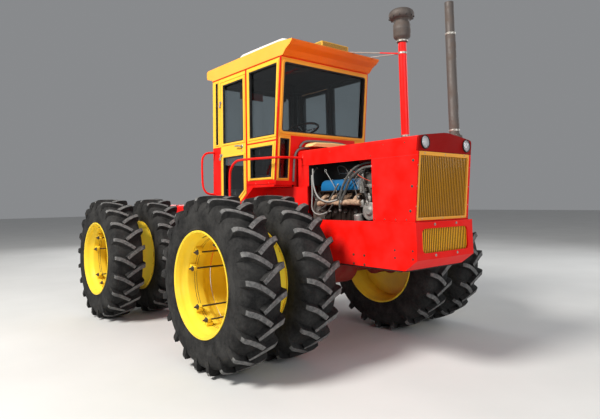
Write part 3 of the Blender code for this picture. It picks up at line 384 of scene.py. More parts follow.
class Build:
    """One piece put together in mesh code. Every shape added names one of its materials."""

    def __init__(self, name, body, *materials, slot=None, stands_for=()):
        self.name, self.body, self.materials = name, body, materials
        self.slot, self.stands_for = slot, stands_for
        self.bm = bmesh.new()

    def take(self, part, paint=0, matrix=None, lean=None):
        """Adds a finished part in one paint. A lean shifts each point along Y by its height."""
        for vertex in part.verts if lean else ():
            vertex.co.y += lean(vertex.co.z)
        for face in part.faces:
            face.material_index = paint
        mesh = bpy.data.meshes.new("part")
        bmesh.ops.recalc_face_normals(part, faces=part.faces)
        part.to_mesh(mesh)
        part.free()
        if matrix is not None:
            mesh.transform(matrix)
            if matrix.determinant() < 0:
                mesh.flip_normals()
        self.bm.from_mesh(mesh)
        bpy.data.meshes.remove(mesh)

    def box(self, low, high, paint=0, bevel=0.003, steps=2, matrix=None):
        low, high = Vector(map(min, low, high)), Vector(map(max, low, high))
        part = bmesh.new()
        fitted = Matrix.Translation((low + high) / 2) @ Matrix.Diagonal((*(high - low), 1.0))
        bmesh.ops.create_cube(part, size=1.0, matrix=fitted)
        width = min(bevel, min(high - low) * 0.45)
        if width > 0:
            bmesh.ops.bevel(
                part, geom=part.edges[:], offset=width, segments=steps, profile=0.5, affect="EDGES"
            )
        self.take(part, paint, matrix)

    def lathe(self, profile, start, direction, paint=0, steps=32, closed=False):
        """A turned shape. The profile's points are (radius, height along the direction)."""
        part = bmesh.new()
        rings = []
        for radius, height in profile:
            if radius < 1e-6:
                rings.append([part.verts.new((0, 0, height))])
            else:
                rings.append([part.verts.new((radius * c, radius * s, height)) for c, s in circle(steps)])
        pairs = list(zip(rings, rings[1:])) + ([(rings[-1], rings[0])] if closed else [])
        for a, b in pairs:
            for i in range(steps):
                j = (i + 1) % steps
                corners = (a[i % len(a)], a[j % len(a)], b[j % len(b)], b[i % len(b)])
                corners = list(dict.fromkeys(corners))
                if len(corners) > 2:
                    part.faces.new(corners)
        turn = Vector((0, 0, 1)).rotation_difference(Vector(direction)).to_matrix().to_4x4()
        self.take(part, paint, Matrix.Translation(start) @ turn)

    def rod(self, start, end, radius, paint=0, steps=14):
        way = Vector(end) - Vector(start)
        length = way.length
        soft = min(0.0015, radius * 0.4, length * 0.3)
        profile = [(0, 0), (radius - soft, 0), (radius, soft)]
        profile += [(radius, length - soft), (radius - soft, length), (0, length)]
        self.lathe(profile, start, way, paint, steps)

    def tube(self, points, radius, paint=0, sides=10, smooth=4, squeeze=1.0):
        """A round tube along a smooth line through the points."""
        line = curve_through(points, smooth)
        part = bmesh.new()
        rings = []
        up = Vector((0, 0, 1))
        if abs((line[1] - line[0]).normalized().z) > 0.9:
            up = Vector((0, 1, 0))
        for i, point in enumerate(line):
            ahead = (line[min(i + 1, len(line) - 1)] - line[max(i - 1, 0)]).normalized()
            side = ahead.cross(up).normalized()
            up = side.cross(ahead)
            across, over = side * radius, up * radius * squeeze
            rings.append([part.verts.new(point + across * c + over * s) for c, s in circle(sides)])
        skin(part, rings)
        part.faces.new(rings[0][::-1])
        part.faces.new(rings[-1])
        self.take(part, paint)

    def prism(self, outline, axis, low, high, paint=0, bevel=0.0, lean=None):
        """A flat outline extruded along an axis. Its points are (y, z), (x, z) or (x, y)."""
        part = bmesh.new()
        low, high = min(low, high), max(low, high)
        ring = [part.verts.new(flat_point(axis, u, v, low)) for u, v in outline]
        face = part.faces.new(ring)
        made = bmesh.ops.extrude_face_region(part, geom=[face])
        step = Vector(flat_point(axis, 0, 0, high - low))
        bmesh.ops.translate(
            part, vec=step, verts=[g for g in made["geom"] if isinstance(g, bmesh.types.BMVert)]
        )
        if bevel:
            bmesh.ops.recalc_face_normals(part, faces=part.faces)
            bmesh.ops.bevel(
                part, geom=part.edges[:], offset=bevel, segments=2, profile=0.5, affect="EDGES",
                clamp_overlap=True
            )
        self.take(part, paint, None, lean)

    def band(self, outer, inner, axis, low, high, paint=0, crown=0.0, lean=None, way=1):
        """A flat ring between two outlines with as many points each, extruded along an axis.

        Its crown is on the high side, and way turns the whole ring over to the axis's other end.
        """
        part = bmesh.new()
        sides = ((outer, low), (outer, high - crown), (grown(outer, -crown), high))
        sides += ((grown(inner, crown), high), (inner, high - crown), (inner, low))
        rings = []
        for ring, level in sides:
            rings.append([part.verts.new(flat_point(axis, u, v, way * level)) for u, v in ring])
        skin(part, rings + rings[:1])
        self.take(part, paint, None, lean)

    def bolt(self, at, way, radius=0.009, paint=0, height=None, washer=True):
        """A hexagon head on a washer, standing out along the way given."""
        height = radius * 0.75 if height is None else height
        if washer:
            rim = radius * 1.45
            self.lathe([(0, 0), (rim, 0), (rim, height * 0.3), (0, height * 0.3)], at, way, paint, 16)
        profile = [(radius, 0.0), (radius, height * 0.92), (radius * 0.86, height * 1.1), (0, height * 1.1)]
        self.lathe(profile, at, way, paint, 6)

    def bolt_ring(self, axis, centre, way, ring, count, first, radius, paint=0, height=None, washer=False):
        """Bolts spaced evenly round an axis, the first at an angle in degrees."""
        for c, s in circle(count, first):
            at = Vector(centre) + Vector(flat_point(axis, ring * c, ring * s, 0.0))
            self.bolt(at, way, radius, paint, height, washer)

    def dome(self, at, way, radius, paint=0, height=None):
        height = radius * 0.6 if height is None else height
        turns = [math.radians(a) for a in (0, 25, 50, 72)]
        profile = [(radius * math.cos(t), height * math.sin(t)) for t in turns] + [(0, height)]
        self.lathe([(0, 0), *profile], at, way, paint, 14)

    def done(self, sharp=35.0):
        """Turns what was added into the visible piece, hangs it on its body, and hides the parts it stands
        for.
        """
        mesh = bpy.data.meshes.new(self.name)
        bmesh.ops.remove_doubles(self.bm, verts=self.bm.verts, dist=1e-7)
        self.bm.to_mesh(mesh)
        self.bm.free()
        mesh.transform(Matrix.Translation((0, SHIFT, 0)))
        for material in self.materials:
            mesh.materials.append(material)
        mesh.shade_smooth()
        mesh.set_sharp_from_angle(angle=math.radians(sharp))
        made = bpy.data.objects.new(self.name, mesh)
        bpy.context.scene.collection.objects.link(made)
        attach(made, self.body)
        if self.stands_for:
            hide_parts(*self.stands_for)
        return made


def flat_point(axis, u, v, level):
    return {"X": (level, u, v), "Y": (u, level, v), "Z": (u, v, level)}[axis]


def circle(count, first=0.0):
    """The cosine and sine at each of a turn's equal steps, the first at an angle in degrees."""
    turns = [2 * math.pi * i / count + math.radians(first) for i in range(count)]
    return [(math.cos(turn), math.sin(turn)) for turn in turns]


def skin(part, rings, around=True):
    """Faces from each ring of vertices to the next, all the way around or along an open row."""
    for a, b in zip(rings, rings[1:]):
        for k in range(len(a) if around else len(a) - 1):
            j = (k + 1) % len(a)
            part.faces.new((a[k], a[j], b[j], b[k]))


def curve_through(points, steps):
    """Points on a smooth line through the given ones."""
    points = [Vector(p) for p in points]
    if steps < 2 or len(points) < 3:
        return points
    line = []
    ends = [2 * points[0] - points[1], *points, 2 * points[-1] - points[-2]]
    for a, b, c, d in zip(ends, ends[1:], ends[2:], ends[3:]):
        for i in range(steps):
            t = i / steps
            line.append(
                0.5 * (
                    2 * b + (c - a) * t + (2 * a - 5 * b + 4 * c - d) * t * t + (3 * b - a - 3 * c + d) * t**3
                )
            )
    return line + [points[-1]]


def grown(outline, by):
    """The outline moved outwards, or inwards if by is negative."""
    if not by:
        return list(outline)
    count = len(outline)
    pairs = list(zip(outline, [*outline[1:], outline[0]]))
    area = sum(a[0] * b[1] - b[0] * a[1] for a, b in pairs)
    turn = 1 if area > 0 else -1
    moved = []
    for i in range(count):
        before, here, after = Vector(outline[i - 1]), Vector(outline[i]), Vector(outline[(i + 1) % count])
        a, b = (here - before).normalized(), (after - here).normalized()
        out_a, out_b = Vector((a.y, -a.x)) * turn, Vector((b.y, -b.x)) * turn
        corner = (out_a + out_b) / max(0.3, 1 + out_a.dot(out_b))
        moved.append(tuple(here + corner * by))
    return moved


def rectangle(u0, v0, u1, v1, radius=0.0, steps=3):
    if not radius:
        return [(u0, v0), (u1, v0), (u1, v1), (u0, v1)]
    left, right, low, high = u0 + radius, u1 - radius, v0 + radius, v1 - radius
    centres = ((right, high), (left, high), (left, low), (right, low))
    points = []
    for quarter, (u, v) in enumerate(centres):
        for step in range(steps + 1):
            angle = math.radians(90 * (quarter + step / steps))
            points.append((u + radius * math.cos(angle), v + radius * math.sin(angle)))
    return points


def cab_lean(z):
    """How far back the cab's front wall is at a height."""
    return CAB_FRONT - CAB_SLOPE * z


def nose_lean(z):
    """How far back the nose is at a height."""
    return NOSE_FRONT - NOSE_SLOPE * z


def repaint(material, *nodes):
    for node in nodes:
        mesh = NODES[node].data
        mesh.materials.clear()
        mesh.materials.append(material)


# ---------------------------------------------------------------- camera, floor and light


def camera():
    yaw, pitch, roll = math.radians(37.628), math.radians(3.930), math.radians(-0.898)
    ahead = Vector((math.sin(yaw) * math.cos(pitch), math.cos(yaw) * math.cos(pitch), math.sin(pitch)))
    right = Vector((math.cos(yaw), -math.sin(yaw), 0))
    up = right.cross(ahead)
    right, up = math.cos(roll) * right + math.sin(roll) * up, math.cos(roll) * up - math.sin(roll) * right
    data = bpy.data.cameras.new("photo_view")
    data.lens, data.sensor_width = 29.369, 36.0
    data.shift_x, data.shift_y = 0.05185, -0.06994
    data.clip_start, data.clip_end = 0.05, 200.0
    made = bpy.data.objects.new("photo_view", data)
    columns = Matrix((right, up, -ahead)).transposed().to_4x4()
    made.matrix_world = Matrix.Translation((-4.1480, -5.2758, 1.6162)) @ columns
    bpy.context.scene.collection.objects.link(made)
    bpy.context.scene.camera = made


def area_light(name, at, target, size, power, colour=(1, 1, 1)):
    """A round soft box. It lights and shines, but the camera never sees it."""
    data = bpy.data.lights.new(name, "AREA")
    data.shape, data.size, data.energy, data.color = "DISK", size, power, colour
    made = bpy.data.objects.new(name, data)
    made.location = at
    made.rotation_euler = (Vector(target) - Vector(at)).to_track_quat("-Z", "Y").to_euler()
    made.visible_camera = made.visible_transmission = False
    bpy.context.scene.collection.objects.link(made)


def studio():
    mesh = bpy.data.meshes.new("studio_floor")
    reach = 60.0
    mesh.from_pydata(
        [(-reach, -reach, 0), (reach, -reach, 0), (reach, reach, 0), (-reach, reach, 0)], [], [(0, 1, 2, 3)]
    )
    floor = bpy.data.objects.new("studio_floor", mesh)
    floor.location.z = -0.001
    bpy.context.scene.collection.objects.link(floor)
    box = Paintbox("studio_floor", (0.62, 0.62, 0.61), 0.85)
    box.set(
        "Base Color",
        box.mix(box.span(box.noise(0.7, 5.0), 0.3, 0.7), (0.60, 0.60, 0.59, 1), (0.65, 0.65, 0.64, 1))
    )
    mesh.materials.append(box.material)
    world = bpy.data.worlds.new("studio")
    world.use_nodes = True
    world.node_tree.nodes["Background"].inputs["Color"].default_value = (0.80, 0.82, 0.85, 1)
    world.node_tree.nodes["Background"].inputs["Strength"].default_value = 0.31
    bpy.context.scene.world = world
    bpy.context.scene.view_settings.view_transform = "Standard"
    area_light("key", (-10.5, -1.0, 10.5), (0, 0, 1.4), 4.0, 2600, (1.0, 0.97, 0.92))
    area_light("front_fill", (-3.0, -12.0, 5.0), (0, 0, 1.3), 7.0, 420, (0.96, 0.98, 1.0))
    area_light("left_fill", (11.0, -4.0, 6.0), (0, 0, 1.5), 7.0, 420, (0.96, 0.98, 1.0))
    area_light("back_fill", (4.0, 12.0, 6.0), (0, 0, 1.3), 7.0, 380)


camera()
studio()

# ---------------------------------------------------------------- tyres and wheels


def tyre_mesh():
    """A tyre with bars that cross to meet in the middle, their points leading as it rolls."""
    build = Build("tread_mesh", None)
    crown = 0.84
    half = [
        (0.498, 0.176), (0.503, 0.197), (0.520, 0.206), (0.535, 0.204), (0.56, 0.209), (0.62, 0.214),
        (0.67, 0.2145)
    ]
    half += [(0.710, 0.206), (0.742, 0.195), (0.763, 0.179), (0.777, 0.155), (0.786, 0.115), (0.791, 0.06)]
    inside = [(0.772, 0.0), (0.766, 0.10), (0.742, 0.165), (0.66, 0.19), (0.56, 0.188), (0.498, 0.176)]
    profile = half + [(0.792, 0.0)] + [(r, -h) for r, h in reversed(half)]
    profile += [(r, -h) for r, h in reversed(inside[1:-1])] + [inside[0]] + inside[1:-1]
    build.lathe(profile, (0, 0, 0), (1, 0, 0), 0, 126, closed=True)
    # Rings moulded into the sidewall, near the bead and below the bars
    for side in (-1, 1):
        for r, h, thick in ((0.548, 0.2085, 0.0035), (0.632, 0.2148, 0.0022)):
            ring = [(r - thick * 2, h - 0.006), (r - thick, h), (r + thick, h), (r + thick * 2, h - 0.006)]
            build.lathe([(a, side * b) for a, b in ring], (0, 0, 0), (1, 0, 0), 0, 126, closed=True)
    count = 21
    # Each bar's stations: how far from the middle, how far ahead, the top's radius, the foot's, and the top's half width
    stations = (
        (-0.052, -0.038, 0.8380, 0.780, 0.0235),
        (0.0, 0.0, 0.840, 0.782, 0.0250),
        (0.045, 0.030, 0.8395, 0.781, 0.0255),
        (0.095, 0.060, 0.8375, 0.778, 0.0255),
        (0.140, 0.081, 0.8345, 0.772, 0.0260),
        (0.176, 0.093, 0.8295, 0.758, 0.0265),
        (0.2010, 0.100, 0.8180, 0.734, 0.0265),
        (0.2125, 0.104, 0.7920, 0.715, 0.0255),
        (0.2147, 0.107, 0.7380, 0.690, 0.0220),
    )
    ways = []
    for k in range(len(stations)):
        a, b = stations[max(0, k - 1)], stations[min(len(stations) - 1, k + 1)]
        way = Vector((b[0] - a[0], b[1] - a[1])).normalized()
        ways.append(way if k < 6 else Vector((1, 0)))
    for side in (-1, 1):
        for i in range(count):
            base = 2 * math.pi * (i + (0.5 if side > 0 else 0.0)) / count
            part = bmesh.new()
            rows = []
            for (h, ahead, top, foot, wide), way in zip(stations, ways):
                row = []
                edge = 0.0035
                for r, w in (
                    (foot, -wide - 0.012), (top - edge, -wide - 0.0015), (top, -wide + edge),
                    (top, wide - edge), (top - edge, wide + 0.0015), (foot, wide + 0.012)
                ):
                    out, along = h - way.y * w, ahead + way.x * w
                    angle = base + along / crown
                    row.append(part.verts.new((side * out, r * math.sin(angle), r * math.cos(angle))))
                rows.append(row)
            tops = []
            for a, b in zip(rows, rows[1:]):
                for j in range(5):
                    face = part.faces.new((a[j], a[j + 1], b[j + 1], b[j]))
                    if j == 2:
                        tops.append(face)
                part.faces.new((a[5], a[0], b[0], b[5]))
            part.faces.new(rows[0][::-1])
            part.faces.new(rows[-1])
            bmesh.ops.recalc_face_normals(part, faces=part.faces)
            for face in part.faces:
                face.material_index = 0
            # Bar tops take the lighter rubber: partly wear and dust, partly a painted highlight.
            for face in tops[:-1]:
                face.material_index = 1
            mesh = bpy.data.meshes.new("bar")
            part.to_mesh(mesh)
            part.free()
            build.bm.from_mesh(mesh)
            bpy.data.meshes.remove(mesh)
    mesh = bpy.data.meshes.new("tread")
    build.bm.to_mesh(mesh)
    build.bm.free()
    mesh.materials.append(TREAD)
    mesh.materials.append(LUG_TOP)
    mesh.shade_smooth()
    mesh.set_sharp_from_angle(angle=math.radians(32))
    return mesh


def tyres():
    tread = tyre_mesh()
    phase = 7.4
    for axle, y in (("front", 0.0), ("rear", WHEELBASE)):
        for name, side in SIDES:
            for which, offset in (("inner", 0.0), ("outer", DUAL)):
                turned = tread.copy()
                turned.transform(Matrix.Rotation(math.radians(phase), 4, "X"))
                phase += 13.54
                made = bpy.data.objects.new(f"tread_{which}_{axle}_{name}", turned)
                made.location = (side * (INNER_X + offset), y + SHIFT, AXLE_Z)
                bpy.context.scene.collection.objects.link(made)
                corner = f"{axle}_{name}"
                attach(made, "wheel_" + corner)
                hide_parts(f"tyre_{which}_{corner}")


def wheel(axle, name, side, y):
    """The two rims, the band between them, the disc, the hub, and the clamps of the outer rim."""
    corner = f"{axle}_{name}"
    x = side * INNER_X
    centre = (x, y, AXLE_Z)
    way = (side, 0, 0)
    build = Build(
        "wheel_" + corner, "wheel_" + corner, RIM_YELLOW, AXLE_RED, ZINC, IRON, slot="rim_yellow",
        stands_for=["rim_" + corner]
    )
    skin = 0.008
    for offset in (0.0, DUAL):
        half = [
            (0.505, 0.199), (0.508, 0.204), (0.5075, 0.210), (0.502, 0.2115), (0.496, 0.208), (0.493, 0.196),
            (0.486, 0.178), (0.4815, 0.160), (0.478, 0.13), (0.452, 0.10), (0.447, 0.08)
        ]
        outer = [(r, h) for r, h in half] + [(0.445, 0.0)] + [(r, -h) for r, h in reversed(half)]
        inner = [(r - skin, -h * 0.985) for r, h in half[2:]] + [(0.445 - skin, 0.0)] + [
            (r - skin, h * 0.985) for r, h in reversed(half[2:])
        ]
        build.lathe([(r, h + offset) for r, h in outer + inner], centre, way, 0, 96, closed=True)
    band = [(0.490, 0.211), (0.4945, 0.216), (0.4945, 0.454), (0.490, 0.459), (0.480, 0.459), (0.480, 0.211)]
    build.lathe(band, centre, way, 0, 96, closed=True)
    for h in (0.010, -0.014):
        weld = [
            (0.4372, DUAL + h - 0.0022), (0.4355, DUAL + h), (0.4372, DUAL + h + 0.0022), (0.4385, DUAL + h)
        ]
        build.lathe(weld, centre, way, 3, 96, closed=True)
    disc = [
        (0.15, 0.058), (0.20, 0.060), (0.30, 0.045), (0.36, 0.052), (0.41, 0.052), (0.4378, 0.046),
        (0.4378, 0.036), (0.41, 0.040), (0.36, 0.040), (0.30, 0.033), (0.20, 0.048), (0.15, 0.046)
    ]
    build.lathe(disc, centre, way, 0, 96, closed=True)
    hub = [
        (0, 0.118), (0.055, 0.118), (0.062, 0.112), (0.066, 0.09), (0.112, 0.086), (0.120, 0.078),
        (0.122, 0.0585), (0.175, 0.0585), (0.175, 0.045)
    ]
    hub += [(0.142, 0.030), (0.138, -0.226), (0.132, -0.233), (0, -0.2335)]
    build.lathe(hub, centre, way, 1, 48)
    outer, inner = Vector((side * 0.0585, 0, 0)), Vector((side * 0.086, 0, 0))
    build.bolt_ring("X", Vector(centre) + outer, way, 0.149, 8, 22.5, 0.0125, 2, 0.014, True)
    build.bolt_ring("X", Vector(centre) + inner, way, 0.09, 6, 0, 0.007, 2, 0.006)
    for pair in range(4):
        for extra in (15, 45):
            turn = math.radians(90 * pair + extra)
            out = Vector((0, math.cos(turn), math.sin(turn)))
            along = Vector((0, -math.sin(turn), math.cos(turn)))
            seat = Vector(centre) + Vector((side * (DUAL + 0.045), 0, 0)) + out * 0.4275
            face = Matrix((along, Vector((side, 0, 0)), out)).transposed().to_4x4()
            place = Matrix.Translation(seat) @ face
            build.box((-0.030, -0.042, -0.030), (0.030, 0.034, 0.0095), 0, 0.008, 2, place)
            build.box((-0.023, -0.018, -0.066), (0.023, 0.024, -0.022), 0, 0.007, 2, place)
            axis_at = seat - out * 0.044
            build.rod(
                axis_at + Vector((side * 0.064, 0, 0)), axis_at - Vector((side * 0.66, 0, 0)), 0.009, 3, 10
            )
            build.bolt(axis_at + Vector((side * 0.024, 0, 0)), way, 0.019, 3, 0.020)
            foot = Vector(centre) + Vector((side * 0.080, 0, 0)) + out * 0.4275
            build.box(
                (-0.024, -0.028, -0.062), (0.024, 0.028, 0.0095), 0, 0.006, 2, Matrix.Translation(foot) @ face
            )
    valve = Vector(centre) + Vector((side * (DUAL + 0.12), 0.0, 0.452))
    build.rod(valve, valve + Vector((side * 0.05, 0, -0.018)), 0.004, 3, 8)
    build.done()


tyres()
for axle_name, axle_y in (("front", 0.0), ("rear", WHEELBASE)):
    for side_name, side_sign in SIDES:
        wheel(axle_name, side_name, side_sign, axle_y)

# ---------------------------------------------------------------- hood and nose


def hood_section(grow):
    """Half of the hood's outline, from the seam up to the ridge, as (x, z)."""
    half = HOOD_HALF + grow
    points = [(half, 2.012), (half, 2.155)]
    for step in range(1, 7):
        angle = math.radians(78 * step / 6)
        points.append((half - 0.034 * (1 - math.cos(angle)), 2.155 + 0.034 * math.sin(angle) + 0.1 * grow))
    points += [(0.30, 2.2035 + grow), (0.12, 2.2245 + grow), (0.05, 2.2325 + grow), (0.0, 2.2340 + grow)]
    return points


def hood():
    build = Build("hood_shell", "chassis", RED, BLACK, RUSTY, slot="body_red", stands_for=["hood"])
    outer, inner = hood_section(0.0), hood_section(-0.0045)
    loop = outer + [
        (-x, z) for x, z in reversed(outer[:-1])
    ] + [(-x, z) for x, z in inner] + list(reversed(inner[:-1]))
    part = bmesh.new()
    rows = []
    for y in (-1.5007, -1.30, -0.70, -0.10, 0.112, 0.122, 0.125):
        drop = {0.122: -0.0015, 0.125: -0.0045}.get(y, 0.0)
        rows.append([])
        for x, z in loop:
            lean = nose_lean(z) - NOSE_TOP if y < -1.4 else 0.0
            rows[-1].append(part.verts.new((x, y + lean, z + (drop if z > 2.02 else 0.0))))
    skin(part, rows)
    count = len(loop)
    half = count // 2
    for row in (rows[0], rows[-1]):
        for k in range(half - 1):
            part.faces.new((row[k], row[k + 1], row[count - 2 - k], row[count - 1 - k]))
    build.take(part, 0)
    for side in (-1, 1):
        build.box((side * 0.429, -0.052, 1.7757), (side * 0.435, 0.125, 2.016), 0, 0.001)
        build.box((side * 0.4285, -1.46, 2.0125), (side * 0.4195, 0.12, 2.018), 0, 0.001)
        for y, z in ((-1.364, 2.135), (-1.116, 2.137), (-0.957, 2.043), (-0.40, 2.137), (0.04, 2.137)):
            build.dome((side * HOOD_HALF, y, z), (side, 0, 0), 0.0065, 2)
        for y in (-0.90, -0.5, -0.11):
            build.dome((side * HOOD_HALF, y, 2.026), (side, 0, 0), 0.005, 2)
    for y in (-1.25, -0.62, 0.02):
        rib = [(0.416, 2.06), (0.414, 2.13), (0.39, 2.165), (0.2, 2.188)]
        points = [(-x, y, z) for x, z in rib] + [(x, y, z) for x, z in reversed(rib)]
        build.tube(points, 0.006, 1, 8, 3)
    build.done()


def nose():
    # The nose band takes the darkened red: painted shade on the front face.
    panel = Build("nose_band", "chassis", SHADED_RED, BLACK, ZINC, slot="nose_red", stands_for=["nose_panel"])
    top = [(x, z) for x, z in hood_section(-0.0003)][1:]
    outline = [(HOOD_HALF, 2.048), *top, *[(-x, z) for x, z in reversed(top[:-1])], (-HOOD_HALF, 2.048)]
    panel.prism(outline, "Y", 0.0, 0.0195, 0, 0.0, nose_lean)
    panel.done()
    build = Build(
        "radiator_grille", "chassis", GRILLE_FRAME, GOLD, SEAL, RED, ZINC, slot="grille_gold",
        stands_for=["grille"]
    )
    window = rectangle(-0.392, 1.446, 0.378, 2.011, 0.004, 2)
    rim = rectangle(-0.412, 1.4205, 0.402, 2.0455, 0.004, 2)
    build.band(rim, window, "Y", 0.0, 0.0195, 0, 0.002, nose_lean)
    for low, high in ((-0.4345, -0.4135), (0.4035, 0.4345)):
        build.prism(rectangle(low, 1.4076, high, 2.0465), "Y", 0.001, 0.02, 3, 0.0, nose_lean)
    build.prism(rectangle(-0.4125, 1.4076, 0.4025, 1.4200), "Y", 0.001, 0.02, 3, 0.0, nose_lean)
    # A dark sheet behind the bars: painted shade, so the gaps between them read dark.
    build.prism(rectangle(-0.41, 1.43, 0.40, 2.03), "Y", 0.026, 0.030, 2, 0.0, nose_lean)
    count = 28
    for i in range(count):
        x = -0.392 + 0.77 * (i + 0.5) / count
        build.prism(rectangle(x - 0.0070, 1.44, x + 0.0070, 2.017), "Y", 0.005, 0.011, 1, 0.002, nose_lean)
    for z in (1.60, 1.78, 1.90):
        build.prism(rectangle(-0.40, z, 0.39, z + 0.006), "Y", 0.0205, 0.0255, 2, 0.0, nose_lean)
    for x in (-0.33, -0.005, 0.32):
        build.dome((x, nose_lean(2.029) + 0.0005, 2.029), (0, -1, -0.09), 0.007, 4)
        build.dome((x, nose_lean(1.433) + 0.0005, 1.433), (0, -1, -0.09), 0.006, 4)
    for z in (1.55, 1.73, 1.92):
        for x in (-0.4235, 0.419):
            build.dome((x, nose_lean(z) + 0.0015, z), (0, -1, -0.09), 0.005, 4)
    build.done()
    # The lower bars take the lighter gold: painted light.
    lower = Build(
        "lower_grille_bars", "chassis", LIT_LOWER_GOLD, SEAL, slot="grille_gold", stands_for=["lower_grille"]
    )
    back = -1.4587
    # A dark sheet behind the lower bars: painted shade in the gaps.
    lower.box((-0.399, back + 0.014, 1.101), (0.399, back + 0.0195, 1.369), 1, 0.001)
    for i in range(27):
        x = -0.385 + 0.77 * (i + 0.5) / 27
        lower.prism(rectangle(x - 0.0060, 1.104, x + 0.0060, 1.366), "Y", back, back + 0.005, 0, 0.002)
    lower.done()


def headlights():
    shell = Build(
        "headlight_housings", "chassis", BLACK, REFLECTOR, ZINC, slot="bright_steel",
        stands_for=["headlights"]
    )
    lens = Build("headlight_lenses", "chassis", LENS, slot="glass")
    front = nose_lean(LAMP_Z) - 0.012
    for x in (-LAMP_X, LAMP_X):
        bezel = [
            (0.0555, 0.006), (0.057, 0.001), (0.060, 0.0), (0.0635, 0.003), (0.064, 0.010), (0.064, 0.034),
            (0.0625, 0.036), (0.056, 0.036), (0.0555, 0.030)
        ]
        shell.lathe(bezel, (x, front, LAMP_Z), (0, 1, 0), 0, 48, closed=True)
        bowl = [
            (0.0553, 0.010), (0.050, 0.030), (0.040, 0.048), (0.024, 0.062), (0.010, 0.066), (0, 0.066),
            (0, 0.070), (0.012, 0.070), (0.030, 0.066), (0.046, 0.052), (0.0553, 0.036)
        ]
        shell.lathe(bowl, (x, front, LAMP_Z), (0, 1, 0), 1, 40)
        shell.rod((x, front + 0.062, LAMP_Z), (x, front + 0.034, LAMP_Z), 0.010, 2, 12)
        glass = [
            (0, 0.0018), (0.020, 0.0022), (0.040, 0.0036), (0.0550, 0.0065), (0.0550, 0.0095),
            (0.040, 0.0066), (0.020, 0.0052), (0, 0.0048)
        ]
        lens.lathe(glass, (x, front, LAMP_Z), (0, 1, 0), 0, 40)
        for c, s in circle(3, 30):
            shell.dome((x + 0.0605 * c, front + 0.0012, LAMP_Z + 0.0605 * s), (0, -1, 0), 0.0022, 2, 0.0012)
    shell.box((-0.345, -1.482, 2.118), (0.345, -1.468, 2.142), 0, 0.002)
    shell.done()
    lens.done()


def side_panels():
    for name, side in SIDES:
        face = (side * HOOD_HALF, side * (HOOD_HALF - 0.006))
        build = Build("panel_fasteners_" + name, "chassis", IRON, BLACK, SEAL, slot="bright_steel")
        build.box(
            (side * (HOOD_HALF + TOUCH), -1.50, 2.0105), (side * (HOOD_HALF - 0.002), -0.968, 2.0128), 2, 0.0
        )
        for y, z in ((-1.452, 1.964), (-1.43, 1.73), (-1.402, 1.507)):
            at = (side * (HOOD_HALF + TOUCH), y, z)
            build.lathe(
                [(0, 0), (0.013, 0), (0.013, 0.0015), (0.010, 0.003), (0.010, 0.005), (0, 0.0055)], at,
                (side, 0, 0), 0, 20
            )
            build.box(
                (at[0] + side * 0.005, y - 0.007, z - 0.001), (at[0] + side * 0.0062, y + 0.007, z + 0.001),
                1, 0.0
            )
        for y in (-0.985, -1.109, -1.236, -1.356):
            build.dome((side * (HOOD_HALF + TOUCH), y, 1.427), (side, 0, 0), 0.0065, 0)
        for z in (1.55, 1.75, 1.93):
            build.dome((side * (HOOD_HALF + TOUCH), -0.982, z), (side, 0, 0), 0.004, 0)
        build.done()
        lip = Build("panel_edge_" + name, "chassis", RED, slot="body_red")
        lip.box((face[1] - side * TOUCH, -0.985, 1.412), (face[1] - side * 0.016, -0.966, 2.008), 0, 0.001)
        lip.box((face[1] - side * TOUCH, -1.44, 1.412), (face[1] - side * 0.016, -1.43, 2.0), 0, 0.001)
        lip.done()
    repaint(RED, "side_panel_right", "side_panel_left")


def frame_details():
    repaint(FRAME_RED, "front_frame")
    for name, side in SIDES:
        build = Build("frame_bolts_" + name, "chassis", RUSTY, SEAL, FRAME_RED, slot="body_red")
        out = side * (FRAME_HALF + TOUCH)
        for y, low, high in ((-0.725, 0.970, 1.071), (-0.864, 0.970, 1.071)):
            for z in (low + 0.012, high):
                build.bolt((out, y, z), (side, 0, 0), 0.0085, 0)
        for y, low, high in ((-1.234, 1.078, 1.147), (-1.431, 1.079, 1.151)):
            for z in (low, high):
                build.lathe(
                    [(0, 0), (0.0095, 0), (0.0095, 0.0006), (0.007, 0.0009), (0, 0.0004)], (out, y, z),
                    (side, 0, 0), 1, 18
                )
        for y in (-0.175, -0.105):
            build.bolt((out, y, 1.135), (side, 0, 0), 0.0085, 0)
        for y in (0.62, 0.75, 0.90):
            build.bolt((out, y, 0.80), (side, 0, 0), 0.010, 0)
        # A strip stiffens the bay's lower edge behind the sheet
        build.box((side * 0.444, -0.955, 1.395), (side * 0.426, -0.06, 1.4065), 2, 0.002)
        build.done()
    front = Build("bumper_bolts", "chassis", ZINC, slot="bright_steel")
    for x in (-0.175, 0.175):
        for z in (1.381, 1.099):
            front.bolt((x, -1.475 - TOUCH, z), (0, -1, 0), 0.009, 0)
    front.done()
    # Black strips along the frame's underside and front: painted shade, darkening the belly where the shade
    # under the tractor falls.
    strip = Build("belly_shade_strips", "chassis", SEAL, slot="rubber")
    for side in (-1, 1):
        strip.box((side * 0.452, -1.30, 0.952), (side * 0.430, 0.25, 0.9655), 0, 0.003)
    strip.box((-0.43, -1.335, 0.954), (0.43, -1.30, 0.9655), 0, 0.003)
    strip.done()
    skid = Build("step_grips", "chassis", ZINC, slot="body_red")
    for side in (-1, 1):
        for z in (0.6901, 1.0301):
            for i in range(7):
                y = 1.0 + 0.035 * i
                skid.box((side * 0.50, y - 0.003, z), (side * 0.82, y + 0.003, z + 0.004), 0, 0.0015)
    skid.done()


hood()
nose()
headlights()
side_panels()
frame_details()

# ---------------------------------------------------------------- engine bay and stacks


